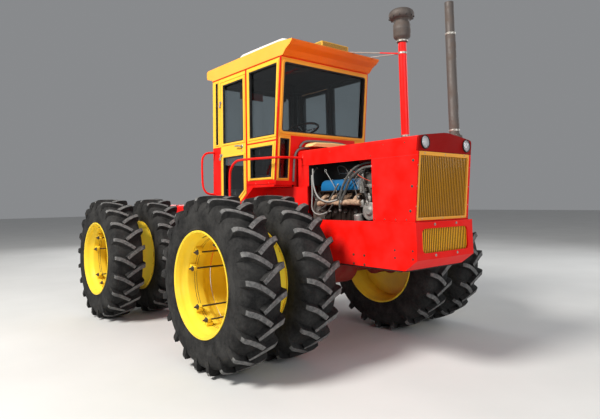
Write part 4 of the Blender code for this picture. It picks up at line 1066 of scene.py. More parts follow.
def engine():
    repaint(SOOT, "engine_block")
    repaint(IRON, "gearbox")
    build = Build(
        "engine_dressing", "chassis", BLUE, RUST, ALLOY, HOSE, PALE_HOSE, IRON, ZINC, SOOT, BELL, WIRE,
        slot="cast_iron"
    )
    # The block's own side and top, a touch outside them
    wall, top = 0.2803, 1.7803
    for side in (-1, 1):
        # A rounded valve cover over each bank, with its filler cap
        cover = [
            (0.150, top), (0.152, 1.796), (0.162, 1.815), (0.182, 1.830), (0.210, 1.839), (0.245, 1.842),
            (0.282, 1.836), (0.310, 1.819), (0.328, 1.790), (0.334, 1.756), (0.334, 1.7203), (0.2805, 1.7203),
            (0.2805, top)
        ]
        build.prism([(side * x, z) for x, z in cover], "Y", -0.70, -0.14, 0, 0.016)
        for y in (-0.60, -0.42, -0.24):
            build.bolt((side * 0.245, y, 1.8425), (0, 0, 1), 0.007, 6)
        build.lathe(
            [(0, 0), (0.026, 0), (0.026, 0.012), (0.034, 0.014), (0.034, 0.030), (0.028, 0.036), (0, 0.037)],
            (side * 0.225, -0.51, 1.8405), (0, 0, 1), 7, 28
        )
        build.box((side * 0.2805, -0.715, 1.7053), (side * 0.343, -0.125, 1.7220), 7, 0.004)
        build.box((side * 0.13, -0.76, 1.7603), (side * 0.30, -0.10, 1.782), 5, 0.006)
        # Exhaust manifold: a log with a short branch for each port
        log = [
            (side * 0.355, -0.74, 1.588), (side * 0.36, -0.60, 1.594), (side * 0.362, -0.43, 1.588),
            (side * 0.36, -0.26, 1.594), (side * 0.35, -0.12, 1.578)
        ]
        build.tube(log, 0.030, 1, 14, 4)
        for y in (-0.68, -0.53, -0.34, -0.19):
            build.tube(
                [(side * 0.285, y, 1.65), (side * 0.325, y + 0.01, 1.645), (side * 0.352, y + 0.02, 1.61)],
                0.024, 1, 12, 3
            )
            build.box((side * 0.281, y - 0.035, 1.620), (side * 0.295, y + 0.035, 1.690), 1, 0.005)
            build.bolt((side * 0.295, y - 0.026, 1.655), (side, 0, 0), 0.006, 6)
            build.bolt((side * 0.295, y + 0.026, 1.655), (side, 0, 0), 0.006, 6)
        # Ribs, core plugs and a sump rail on the block's side
        for i in range(6):
            y = -0.82 + 0.145 * i
            build.box((side * wall, y - 0.010, 1.20), (side * 0.296, y + 0.010, 1.62), 7, 0.006)
            if i < 5:
                build.lathe(
                    [(0, 0), (0.028, 0), (0.028, 0.006), (0.022, 0.008), (0.018, 0.003), (0, 0.003)],
                    (side * wall, y + 0.072, 1.50), (side, 0, 0), 5, 20
                )
        build.box((side * wall, -0.89, 1.62), (side * 0.302, -0.03, 1.655), 7, 0.005)
    # Bell housing, with the bolts that hold it to the block
    build.lathe(
        [
            (0, 0), (0.375, 0), (0.378, 0.010), (0.370, 0.028), (0.335, 0.060), (0.305, 0.110),
            (0.290, 0.118), (0, 0.118)
        ],
        (0, -0.0446, 1.46), (0, -1, 0), 8, 56
    )
    build.bolt_ring("Y", (0, -0.085, 1.46), (0, -1, 0), 0.352, 12, 8, 0.009, 5)
    build.tube(
        [(-0.36, -0.62, 1.93), (-0.385, -0.70, 1.90), (-0.39, -0.80, 1.84), (-0.38, -0.90, 1.80)], 0.0035, 9,
        6, 4
    )
    # Intake manifold, air box and its elbow between the banks
    build.box((-0.12, -0.70, top), (0.12, -0.16, 1.84), 5, 0.02, 3)
    build.lathe(
        [(0, 0), (0.13, 0), (0.145, 0.015), (0.145, 0.075), (0.13, 0.09), (0.03, 0.098), (0, 0.098)],
        (0, -0.44, 1.85), (0, 0, 1), 7, 40
    )
    build.tube(
        [
            (0.10, -0.98, 2.02), (0.09, -0.93, 1.99), (0.05, -0.80, 1.95), (0.0, -0.60, 1.935),
            (0.0, -0.5, 1.93)
        ],
        0.043, 3, 16, 4
    )
    # Front of the engine: timing cover, water pump, pulleys, belts, fan
    build.box((-0.20, -0.9303, 1.10), (0.20, -0.9003, 1.66), 5, 0.012)
    for x, z, r in ((0.0, 1.22, 0.085), (0.0, 1.56, 0.07), (-0.245, 1.62, 0.042), (0.245, 1.60, 0.05)):
        groove = [
            (0, 0), (r * 0.35, 0), (r * 0.4, 0.006), (r * 0.85, 0.008), (r, 0.002), (r, 0.006),
            (r * 0.9, 0.014), (r, 0.022), (r, 0.026), (r * 0.6, 0.03), (0, 0.03)
        ]
        build.lathe(groove, (x, -0.932, z), (0, -1, 0), 2, 32)
    for a, b in (((0.0, 1.22, 0.077), (-0.245, 1.62, 0.038)), ((0.0, 1.22, 0.077), (0.245, 1.60, 0.045))):
        for lean in (-1, 1):
            start, end = Vector((a[0], -0.946, a[1])), Vector((b[0], -0.946, b[1]))
            across = (end - start).cross(Vector((0, 1, 0))).normalized()
            build.tube([start + across * a[2] * lean, end + across * b[2] * lean], 0.006, 3, 6, 1)
    for i in range(6):
        turn = math.radians(60 * i)
        out = Vector((math.cos(turn), 0, math.sin(turn)))
        tip = Vector((0, -0.965, 1.56))
        blade = Matrix.Translation(tip + out * 0.17) @ Matrix.Rotation(-turn, 4, "Y") @ Matrix.Rotation(
            math.radians(28), 4, "X"
        )
        build.box((-0.10, -0.002, -0.045), (0.115, 0.002, 0.045), 7, 0.0015, 1, blade)
    # Alternator on the right, pump on the left, both seen through the bay
    build.lathe(
        [(0, 0), (0.05, 0), (0.062, 0.01), (0.062, 0.10), (0.05, 0.115), (0.02, 0.12), (0, 0.12)],
        (-0.245, -0.93, 1.62), (0, 1, 0), 2, 32
    )
    build.lathe(
        [(0, 0), (0.055, 0), (0.07, 0.012), (0.07, 0.03), (0.05, 0.045), (0.05, 0.09), (0, 0.09)],
        (0.245, -0.93, 1.60), (0, 1, 0), 5, 28
    )
    build.lathe(
        [(0, 0), (0.045, 0), (0.05, 0.006), (0.05, 0.13), (0.044, 0.138), (0, 0.14)], (-0.345, -0.70, 1.47),
        (0.15, 0, -1), 2, 28
    )
    build.lathe(
        [
            (0.085, 0.0), (0.092, 0.006), (0.092, 0.022), (0.085, 0.028), (0.05, 0.03), (0.03, 0.05),
            (0, 0.05), (0, 0.0)
        ],
        (-0.335, -0.86, 1.50), (-1, 0, 0), 2, 32
    )
    for c, s in circle(6, 10):
        build.dome((-0.357, -0.86 + 0.07 * c, 1.50 + 0.07 * s), (-1, 0, 0), 0.007, 6)
    # Dipstick with its loop
    build.tube(
        [(-0.315, -0.42, 1.56), (-0.355, -0.40, 1.72), (-0.375, -0.33, 1.85), (-0.385, -0.28, 1.925)], 0.004,
        4, 8, 4
    )
    ring = [(-0.385, -0.275 + 0.014 * c, 1.94 + 0.014 * s) for c, s in circle(10)]
    build.tube(ring + ring[:1], 0.0028, 4, 6, 1)
    # Hoses and pipes
    hoses = (
        (
            [
                (-0.36, -0.93, 1.95), (-0.385, -0.80, 1.93), (-0.40, -0.66, 1.84), (-0.39, -0.56, 1.70),
                (-0.395, -0.50, 1.59)
            ],
            0.0140, 3
        ),
        (
            [
                (-0.33, -0.95, 1.99), (-0.35, -0.80, 1.985), (-0.385, -0.68, 1.93), (-0.40, -0.58, 1.82),
                (-0.40, -0.50, 1.66), (-0.36, -0.455, 1.50)
            ],
            0.0130, 3
        ),
        (
            [
                (-0.40, -0.085, 1.97), (-0.41, -0.10, 1.80), (-0.405, -0.16, 1.66), (-0.40, -0.30, 1.60),
                (-0.385, -0.45, 1.62)
            ],
            0.0090, 4
        ),
        (
            [
                (-0.41, -0.075, 1.90), (-0.415, -0.085, 1.70), (-0.41, -0.075, 1.52), (-0.38, -0.15, 1.46),
                (-0.34, -0.30, 1.50)
            ],
            0.0072, 4
        ),
        ([(-0.34, -0.10, 1.50), (-0.37, -0.25, 1.56), (-0.39, -0.38, 1.68), (-0.36, -0.44, 1.79)], 0.009, 3),
        (
            [
                (-0.30, -0.16, 1.42), (-0.36, -0.26, 1.48), (-0.385, -0.40, 1.60), (-0.37, -0.50, 1.74),
                (-0.31, -0.55, 1.86)
            ],
            0.007, 3
        ),
        (
            [
                (-0.24, -0.80, 1.90), (-0.32, -0.78, 1.92), (-0.385, -0.80, 1.80), (-0.385, -0.84, 1.66),
                (-0.35, -0.86, 1.58)
            ],
            0.010, 3
        ),
        (
            [
                (-0.20, -0.30, 1.90), (-0.28, -0.36, 1.98), (-0.34, -0.52, 1.96), (-0.37, -0.66, 1.80),
                (-0.375, -0.72, 1.62)
            ],
            0.0045, 3
        ),
        (
            [(-0.20, -0.62, 1.905), (-0.27, -0.70, 1.96), (-0.36, -0.78, 1.86), (-0.37, -0.76, 1.70)], 0.0045,
            4
        ),
        ([(-0.39, -0.12, 1.62), (-0.40, -0.07, 1.75), (-0.37, -0.06, 1.92), (-0.30, -0.05, 1.99)], 0.006, 3),
    )
    for points, radius, paint in hoses:
        build.tube(points, radius, paint, 12, 5)
        build.tube([(-x, y, z) for x, y, z in points], radius, paint, 12, 5)
        for end in (0, -1):
            nearer = Vector(points[1] if end == 0 else points[-2])
            at = Vector(points[end])
            way = (nearer - at).normalized()
            for flip in (1, -1):
                foot = Vector((at.x * flip, at.y, at.z))
                turn = Vector((way.x * flip, way.y, way.z))
                build.rod(foot, foot + turn * radius * 1.8, radius * 1.16, 2, 12)
    # Injection lines, a bracket and small fittings that crowd the front of the bay
    for i in range(8):
        y = -0.80 + 0.012 * i
        reach = -0.24 + 0.004 * i
        line = [
            (reach, -0.66 + 0.05 * i, 1.915), (-0.31, -0.72 + 0.02 * i, 1.95 - 0.01 * i),
            (-0.37, y, 1.86 - 0.014 * i), (-0.372, y - 0.01, 1.72)
        ]
        build.tube(line, 0.0032, 2, 6, 4)
    for i in range(14):
        at = Vector((-0.30 - 0.06 * DRAW.random(), -0.88 + 0.20 * DRAW.random(), 1.56 + 0.30 * DRAW.random()))
        size = Vector(
            (0.012 + 0.012 * DRAW.random(), 0.012 + 0.02 * DRAW.random(), 0.012 + 0.025 * DRAW.random())
        )
        build.box(at - size, at + size, DRAW.choice((2, 5, 7, 2)), 0.005, 2)
        build.bolt((at.x - size.x, at.y, at.z), (-1, 0, 0), 0.007, 6)
    build.box((-0.318, -0.90, 1.66), (-0.302, -0.72, 1.90), 5, 0.004)
    build.done()


def radiator():
    build = Build("radiator", "chassis", BLACK, ALLOY, IRON, ZINC, HOSE, slot="black_paint")
    build.box((-0.40, -1.30, 1.10), (0.40, -1.22, 1.17), 0, 0.012)
    build.box((-0.40, -1.30, 1.90), (0.40, -1.22, 1.985), 0, 0.014)
    for x in (-0.40, 0.385):
        build.box((x, -1.305, 1.12), (x + 0.015, -1.215, 1.97), 0, 0.003)
    build.box((-0.384, -1.285, 1.17), (0.384, -1.235, 1.90), 2, 0.002)
    for i in range(48):
        x = -0.378 + 0.756 * i / 47
        build.box((x - 0.0012, -1.296, 1.17), (x + 0.0012, -1.225, 1.90), 1, 0.0)
    shroud = [
        (0.375, 0.0), (0.372, 0.03), (0.285, 0.10), (0.275, 0.15), (0.270, 0.15), (0.280, 0.098),
        (0.366, 0.028), (0.369, 0.0)
    ]
    build.lathe(shroud, (0, -1.214, 1.54), (0, 1, 0), 0, 48, closed=True)
    build.tube([(0.10, -1.24, 1.99), (0.10, -1.24, 2.05), (0.10, -1.24, 2.06)], 0.03, 3, 16, 2)
    for side in (-1, 1):
        build.tube(
            [
                (side * 0.28, -1.23, 1.93), (side * 0.29, -1.14, 1.93), (side * 0.24, -1.02, 1.86),
                (side * 0.15, -0.95, 1.74)
            ],
            0.026, 4, 14, 5
        )
    build.done()
    bay = Build("bay_lining", "chassis", BLACK, FRAME_RED, slot="black_paint")
    bay.box((-0.425, -0.044, 1.782), (0.425, -0.038, 2.17), 0, 0.002)
    bay.done()


def stacks():
    x, y = EXHAUST_AT
    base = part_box("exhaust_stack")[0].z
    tip = 3.61 - base
    pipe = Build("exhaust_pipe", "chassis", STACK, ZINC, slot="stack_grey", stands_for=["exhaust_stack"])
    profile = [
        (0.041, 1.18), (0.041, tip), (0.0445, tip), (0.045, tip - 0.004), (0.045, 1.085), (0.0475, 1.08),
        (0.0495, 1.075)
    ]
    profile += [
        (0.0495, 0.052), (0.056, 0.040), (0.058, 0.030), (0.072, 0.028), (0.0748, 0.024), (0.0748, 0.001),
        (0.0, 0.001), (0.0, 1.18)
    ]
    pipe.lathe(profile, (x, y, base), (0, 0, 1), 0, 48)
    for z in (0.068, 1.055):
        clamp = [(0.0496, z), (0.0515, z + 0.002), (0.0515, z + 0.020), (0.0496, z + 0.022)]
        pipe.lathe(clamp, (x, y, base), (0, 0, 1), 1, 48, closed=True)
        pipe.rod(
            (x - 0.05, y - 0.024, base + z + 0.011), (x - 0.05, y + 0.024, base + z + 0.011), 0.004, 1, 8
        )
    pipe.bolt_ring("Z", (x, y, base + 0.0275), (0, 0, 1), 0.0655, 4, 45, 0.005, 1)
    pipe.done()
    x, y = INTAKE_AT
    cup = Build("precleaner_bowl", "chassis", STACK, ZINC, SEAL, slot="stack_grey", stands_for=["precleaner"])
    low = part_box("precleaner")[0].z
    bowl = [
        (0, 0.3695), (0.03, 0.369), (0.07, 0.364), (0.10, 0.352), (0.122, 0.334), (0.1315, 0.312),
        (0.1325, 0.292), (0.1305, 0.276), (0.122, 0.262)
    ]
    bowl += [
        (0.112, 0.254), (0.098, 0.250), (0.090, 0.246), (0.082, 0.236), (0.080, 0.222), (0.084, 0.208),
        (0.0895, 0.196), (0.0895, 0.150), (0.0905, 0.147), (0.0905, 0.135), (0.0895, 0.132)
    ]
    bowl += [
        (0.089, 0.072), (0.083, 0.055), (0.066, 0.042), (0.058, 0.030), (0.056, 0.004), (0.05, 0.001),
        (0, 0.001)
    ]
    cup.lathe(bowl, (x, y, low), (0, 0, 1), 0, 56)
    cup.lathe(
        [(0.0562, 0.008), (0.0585, 0.010), (0.0585, 0.024), (0.0562, 0.026)], (x, y, low), (0, 0, 1), 1, 48,
        closed=True
    )
    cup.rod((x + 0.124, y, low + 0.30), (x + 0.150, y, low + 0.30), 0.020, 0, 18)
    for i in range(12):
        turn = 2 * math.pi * i / 12
        at = Vector((x, y, low)) + Vector((0.1235 * math.cos(turn), 0.1235 * math.sin(turn), 0.262))
        cup.box(
            (-0.004, -0.010, -0.002), (0.004, 0.002, 0.014), 2, 0.001, 1,
            Matrix.Translation(at) @ Matrix.Rotation(turn + math.pi / 2, 4, "Z")
        )
    cup.done()
    box_zone = [((0.34, 0.30, 0.27), {"X": (0.142, 9.0), "Z": (3.05, 3.60)})]
    repaint(painted("intake_paint", RED_PAINT, 0.35, dust=0.2, zones=box_zone, radius=0.002), "intake_pipe")
    clamps = Build("intake_clamps", "chassis", ZINC, STACK, slot="bright_steel")
    for z in (2.262, 3.145):
        clamps.lathe(
            [(0.0432, 0), (0.0462, 0.002), (0.0462, 0.022), (0.0432, 0.024)], (x, y, z), (0, 0, 1), 0, 40,
            closed=True
        )
    for roof_x in (0.27, 0.66):
        clamps.bolt((roof_x, -0.045, 3.4212), (0, 0, 1), 0.008, 0)
    clamps.done()


engine()
radiator()
stacks()

# ---------------------------------------------------------------- cab

SIDE_UPPER = [(0.178, 2.37), (0.665, 2.37), (0.665, 3.185), (0.115, 3.185)]
SIDE_LOWER = [(0.252, 1.89), (0.66, 1.89), (0.66, 2.255), (0.215, 2.255)]
QUARTER = [(1.381, 2.37), (1.44, 2.37), (1.44, 3.20), (1.381, 3.20)]
DOOR_UPPER = [(0.797, 2.37), (1.265, 2.37), (1.265, 3.145), (0.797, 3.145)]
DOOR_LOWER = [(0.797, 1.76), (1.11, 1.53), (1.265, 1.53), (1.265, 2.19), (0.797, 2.19)]
WINDSCREEN = rectangle(-0.675, 2.405, 0.675, 3.19, 0.03)
REAR_WINDOW = rectangle(-0.62, 2.10, 0.62, 3.17, 0.03)


def cab_paint():
    lean = (-9.0, CAB_FRONT + 0.016)
    side_zones = [
        (RED_PAINT, {"ylean": lean}),
        (RED_PAINT, {"Y": (0.722, 0.752)}),
        (RED_PAINT, {"Z": (2.298, 2.316), "Y": (-1.0, 0.75)}),
        (RED_PAINT, {"Z": (0.0, 1.862), "Y": (-1.0, 0.75)}),
        (RED_PAINT, {"Z": (0.0, 2.335), "Y": (1.33, 2.0)}),
        (RED_PAINT, {"Z": (3.240, 4.0)}),
        (DARK_LINING, {"Xabs": (0.0, CAB_HALF - 0.02)}),
        (RED_PAINT, {"Xabs": (CAB_HALF + 0.004, 2.0)}),
    ]
    repaint(
        painted("cab_side_paint", YELLOW_PAINT, 0.36, dust=0.22, zones=side_zones, radius=0.003),
        "cab_side_right", "cab_side_left"
    )
    front_zones = [
        (RED_PAINT, {"Xabs": (0.719, 1.0)}),
        (RED_PAINT, {"Xabs": (0.0, 0.535), "Z": (0.0, 2.366)}),
        (RED_PAINT, {"Z": (0.0, 1.85)}),
        (RED_PAINT, {"Z": (3.240, 4.0)}),
        (DARK_LINING, {"ylean": (CAB_FRONT + 0.020, 9.0)}),
    ]
    # The front wall's frames take a darker, oranger copy of the cab yellow: painted shade on the faces turned
    # to the front.
    repaint(
        painted("cab_front_shaded_yellow", (0.88, 0.36, 0.03), 0.4, dust=0.12, zones=front_zones, radius=0.003),
        "cab_front_wall"
    )
    rear_zones = [
        (RED_PAINT, {"Z": (0.0, 2.03)}), (RED_PAINT, {"Xabs": (0.66, 1.0)}), (RED_PAINT, {"Z": (3.240, 4.0)}),
        (DARK_LINING, {"Y": (0.0, 1.50)})
    ]
    repaint(
        painted("cab_rear_paint", YELLOW_PAINT, 0.36, dust=0.25, zones=rear_zones, radius=0.003),
        "cab_rear_wall"
    )
    door_zones = [(DARK_LINING, {"Xabs": (0.0, CAB_HALF - 0.02)})]
    repaint(
        painted("door_paint", YELLOW_PAINT, 0.36, dust=0.25, zones=door_zones, radius=0.003), "door_right",
        "door_left"
    )
    repaint(
        GLASS, "windscreen", "rear_glass", "side_glass_right", "side_glass_left", "door_glass_right",
        "door_glass_left"
    )
    repaint(RED, "handrail_right", "handrail_left", "fender_right", "fender_left")
    repaint(
        painted("floor_paint", RED_PAINT, 0.45, dust=0.6, zones=[((0.03, 0.03, 0.03), {"Z": (1.399, 1.5)})]),
        "cab_floor"
    )
    vent = painted("vent_paint", (0.80, 0.47, 0.06), 0.4, dust=0.25, radius=0.006)
    repaint(vent, "roof_vent_box")


def window_trim():
    """Raised sash frames with their rubber seals round every opening."""
    for name, side in SIDES:
        fixed = Build("side_sashes_" + name, "chassis", YELLOW, SEAL, slot="window_yellow")
        moving = Build("door_sashes_" + name, "door_" + name, YELLOW, SEAL, slot="window_yellow")
        sashes = ((fixed, SIDE_UPPER, 0.026), (fixed, SIDE_LOWER, 0.024), (fixed, QUARTER, 0.018))
        sashes += ((moving, DOOR_UPPER, 0.026), (moving, DOOR_LOWER, 0.024))
        for build, opening, width in sashes:
            face, level = CAB_HALF + TOUCH, CAB_HALF + 0.0085
            build.band(grown(opening, width), opening, "X", face, level, 0, 0.0025, None, side)
            low, high = sorted((side * (CAB_HALF - 0.0265), side * (CAB_HALF + 0.003)))
            build.band(grown(opening, -0.0004), grown(opening, -0.012), "X", low, high, 1, 0.002)
        fixed.done()
        moving.done()
    # The windscreen sash takes a darker, oranger copy of the yellow: painted shade on the front.
    paint = painted("sash_front_shaded_yellow", (0.90, 0.40, 0.035), 0.38, dust=0.12)
    front = Build("windscreen_sash", "chassis", paint, SEAL, RED, slot="window_yellow")
    narrow = [rectangle(low, 1.876, high, 2.327, 0.004, 2) for low, high in ((-0.69, -0.555), (0.555, 0.69))]
    for opening, width in ((WINDSCREEN, 0.030), (narrow[0], 0.016), (narrow[1], 0.016)):
        front.band(grown(opening, width), opening, "Y", 0.0003, 0.009, 0, 0.0025, cab_lean, -1)
        front.band(grown(opening, -0.0004), grown(opening, -0.013), "Y", -0.004, 0.0265, 1, 0.002, cab_lean)
    front.done()
    rear = Build("rear_sash", "chassis", YELLOW, SEAL, slot="window_yellow")
    rear.band(grown(REAR_WINDOW, 0.03), REAR_WINDOW, "Y", 1.5203, 1.529, 0, 0.0025)
    rear.band(grown(REAR_WINDOW, -0.0004), grown(REAR_WINDOW, -0.013), "Y", 1.494, 1.523, 1, 0.002)
    rear.done()


def cab_fittings():
    trim = Build("cab_corner_trim", "chassis", RED, SEAL, ZINC, YELLOW, slot="body_red")
    for side in (-1, 1):
        # Drip rail, the floor band's edge and the post strip beside the door
        edge = [
            (cab_lean(3.20) + 0.03, 3.2395), (1.515, 3.2395), (1.515, 3.2485), (cab_lean(3.25) + 0.03, 3.2485)
        ]
        trim.prism(edge, "X", side * (CAB_HALF + TOUCH), side * (CAB_HALF + 0.011), 0, 0.003)
        low, high = 1.865, 3.225
        post = [
            (cab_lean(low) + 0.002, low), (cab_lean(low) + 0.015, low), (cab_lean(high) + 0.015, high),
            (cab_lean(high) + 0.002, high)
        ]
        trim.prism(post, "X", side * (CAB_HALF + TOUCH), side * (CAB_HALF + 0.006), 0, 0.0025)
        trim.prism(
            rectangle(0.724, 1.80, 0.747, 3.222), "X", side * (CAB_HALF + TOUCH), side * (CAB_HALF + 0.005),
            0, 0.0022
        )
        band = [(0.20, 1.812), (0.715, 1.812), (0.715, 1.842), (0.20, 1.842)]
        trim.prism(band, "X", side * (CAB_HALF + TOUCH), side * (CAB_HALF + 0.006), 0, 0.0025)
        for z in (1.95, 2.55, 3.05):
            trim.dome((side * (CAB_HALF + TOUCH), cab_lean(z) + 0.032, z), (side, 0, 0), 0.004, 2)
        for y in (0.30, 0.55):
            trim.dome((side * (CAB_HALF + 0.006), y, 1.827), (side, 0, 0), 0.005, 2)
        for z, y in ((2.27, 1.475), (1.715, 1.465)):
            trim.lathe(
                [(0, 0), (0.028, 0), (0.028, 0.003), (0.018, 0.007), (0.0155, 0.012)],
                (side * (CAB_HALF + TOUCH), y, z), (side, 0, 0), 0, 24
            )
        for z in (2.90, 2.2, 1.62):
            trim.rod(
                (side * (CAB_HALF + 0.0125), 1.3235, z - 0.042),
                (side * (CAB_HALF + 0.0125), 1.3235, z - 0.002), 0.0085, 2, 14
            )
            trim.box(
                (side * (CAB_HALF + TOUCH), 1.3275, z - 0.040), (side * (CAB_HALF + 0.006), 1.368, z - 0.004),
                2, 0.0015
            )
    trim.done()
    for name, side in SIDES:
        door = Build("door_fittings_" + name, "door_" + name, ZINC, ALLOY, YELLOW, slot="bright_steel")
        out = side * (CAB_HALF + TOUCH)
        handle = [
            (out, 0.835, 2.30), (out + side * 0.030, 0.838, 2.302), (out + side * 0.036, 0.86, 2.306),
            (out + side * 0.036, 0.945, 2.312)
        ]
        door.tube(handle, 0.0075, 1, 12, 5, 1.35)
        door.lathe(
            [(0, 0), (0.022, 0), (0.022, 0.004), (0.014, 0.008), (0.012, 0.014)], (out, 0.835, 2.30),
            (side, 0, 0), 1, 24
        )
        door.lathe([(0, 0), (0.010, 0), (0.010, 0.004), (0, 0.004)], (out, 0.838, 2.245), (side, 0, 0), 0, 20)
        for z in (2.90, 2.2, 1.62):
            door.rod(
                (side * (CAB_HALF + 0.0125), 1.3235, z), (side * (CAB_HALF + 0.0125), 1.3235, z + 0.040),
                0.0085, 0, 14
            )
            door.box((out, 1.283, z + 0.004), (side * (CAB_HALF + 0.006), 1.3195, z + 0.038), 0, 0.0015)
        inside = side * (CAB_HALF - 0.027 - TOUCH)
        door.rod((inside, 0.79, 2.31), (inside - side * 0.04, 0.79, 2.31), 0.008, 0, 12)
        door.box((inside - side * 0.03, 0.775, 2.22), (inside - side * 0.045, 0.80, 2.325), 1, 0.005)
        door.box((inside - TOUCH * side, 0.80, 2.20), (inside - side * 0.006, 1.27, 2.36), 2, 0.002)
        door.done()
    seal = Build("hood_seals", "chassis", GREY_SEAL, BEIGE, SEAL, slot="rubber")
    arch = [(-0.475, 1.84), (-0.475, 2.06), (-0.468, 2.13), (-0.44, 2.19), (-0.38, 2.222), (-0.25, 2.236)]
    for side in (-1, 1):
        line = [(side * x, cab_lean(z) - 0.013, z) for x, z in arch]
        seal.tube(line, 0.0125, 0, 10, 5)
    hump = [
        (-0.40, 2.232), (-0.37, 2.275), (-0.32, 2.306), (-0.2, 2.318), (0.0, 2.322), (0.2, 2.318),
        (0.32, 2.306), (0.37, 2.275), (0.40, 2.232)
    ]
    seal.tube([(x, cab_lean(z) - 0.013, z) for x, z in hump], 0.0125, 0, 10, 4)
    cover = [
        (-0.345, 2.2385), (-0.325, 2.268), (-0.27, 2.288), (0.0, 2.297), (0.27, 2.288), (0.325, 2.268),
        (0.345, 2.2385)
    ]
    part = bmesh.new()
    rows = []
    for y, grow in ((-0.02, -0.012), (-0.005, 0.0), (0.085, 0.003), (0.105, 0.003)):
        rows.append([part.verts.new((x * (1 + grow), y, z + (grow if z > 2.25 else 0))) for x, z in cover])
    skin(part, rows, False)
    for row in (rows[0], rows[-1]):
        part.faces.new(row)
    bottoms = [row[0] for row in rows] + [row[-1] for row in reversed(rows)]
    part.faces.new(bottoms)
    seal.take(part, 1)
    seal.done()


def roof_details():
    inside = [(DARK_LINING, {"Xabs": (0.0, 0.7208), "Y": (0.05, 1.505), "Z": (3.0, 3.386)})]
    # The roof's sides take a paler orange: painted sunlight on the faces turned to the sides.
    roof_paint = painted(
        "roof_paint", ORANGE_PAINT, 0.42, dust=0.12, zones=inside, sunlit_sides=(0.95, 0.41, 0.055), radius=0.014
    )
    repaint(roof_paint, "cab_roof")
    cap = Build("roof_hatch", "chassis", WHITE, ZINC, SEAL, slot="roof_white", stands_for=["roof_cap"])
    side_line = [
        (0.152, ROOF_TOP), (0.152, 3.482), (0.162, 3.500), (0.20, 3.525), (0.235, 3.538), (0.65, 3.5445),
        (1.07, 3.5445), (1.115, 3.530), (1.155, 3.500), (1.167, 3.482), (1.167, ROOF_TOP)
    ]
    rows = []
    part = bmesh.new()
    for x, shrink in (
        (-0.549, 0.030), (-0.540, 0.012), (-0.515, 0.0), (0.515, 0.0), (0.540, 0.012), (0.549, 0.030)
    ):
        level = 1 - shrink * 1.6
        points = [(x, y + (0.66 - y) * shrink, ROOF_TOP + (z - ROOF_TOP) * level) for y, z in side_line]
        rows.append([part.verts.new(point) for point in points])
    skin(part, rows)
    part.faces.new(rows[0])
    part.faces.new(rows[-1])
    cap.take(part, 0)
    for x in (-0.53, 0.53):
        for y in (0.3, 0.66, 1.02):
            cap.dome((x, y, 3.528), (0, 0, 1), 0.006, 1)
    cap.done()
    extra = Build("roof_fittings", "chassis", ZINC, SEAL, AMBER_LENS, BLACK, ORANGE, slot="bright_steel")
    for x in (-0.68, -0.35, 0.0, 0.35, 0.68):
        extra.dome((x, 1.45, 3.4201), (0, 0, 1), 0.006, 0)
    for i in range(6):
        z = 3.557 + 0.0105 * i
        extra.box((0.0885, 0.232, z), (0.0897, 0.378, z + 0.004), 1, 0.0)
        extra.box((0.105, 0.2186, z), (0.545, 0.2197, z + 0.004), 1, 0.0)
    for x in (-0.55, 0.55):
        extra.box((x - 0.055, 1.664, 3.335), (x + 0.055, 1.6755, 3.395), 3, 0.004)
    extra.done()
    lamps = Build("rear_lamps", "chassis", BLACK, RED_LENS, AMBER_LENS, STEEL, slot="glass")
    for side in (-1, 1):
        lamps.box((side * 0.58, 1.5205, 1.86), (side * 0.68, 1.545, 1.96), 0, 0.006)
        lamps.lathe(
            [(0, 0), (0.038, 0), (0.038, 0.006), (0.030, 0.014), (0.012, 0.019), (0, 0.020)],
            (side * 0.63, 1.5453, 1.91), (0, 1, 0), 1, 32
        )
        lamps.box((side * 0.535, 1.5205, 3.185), (side * 0.565, 1.545, 3.215), 0, 0.003)
        lamps.lathe(
            [
                (0, 0), (0.02, 0), (0.045, 0.014), (0.05, 0.03), (0.05, 0.045), (0.046, 0.046),
                (0.044, 0.038), (0, 0.036)
            ],
            (side * 0.55, 1.545, 3.17), (0, 1, -0.25), 0, 32
        )
        lamps.lathe(
            [(0, 0), (0.042, 0), (0.042, 0.003), (0, 0.008)], (side * 0.55, 1.5845, 3.1605), (0, 1, -0.25), 3,
            28
        )
    lamps.done()


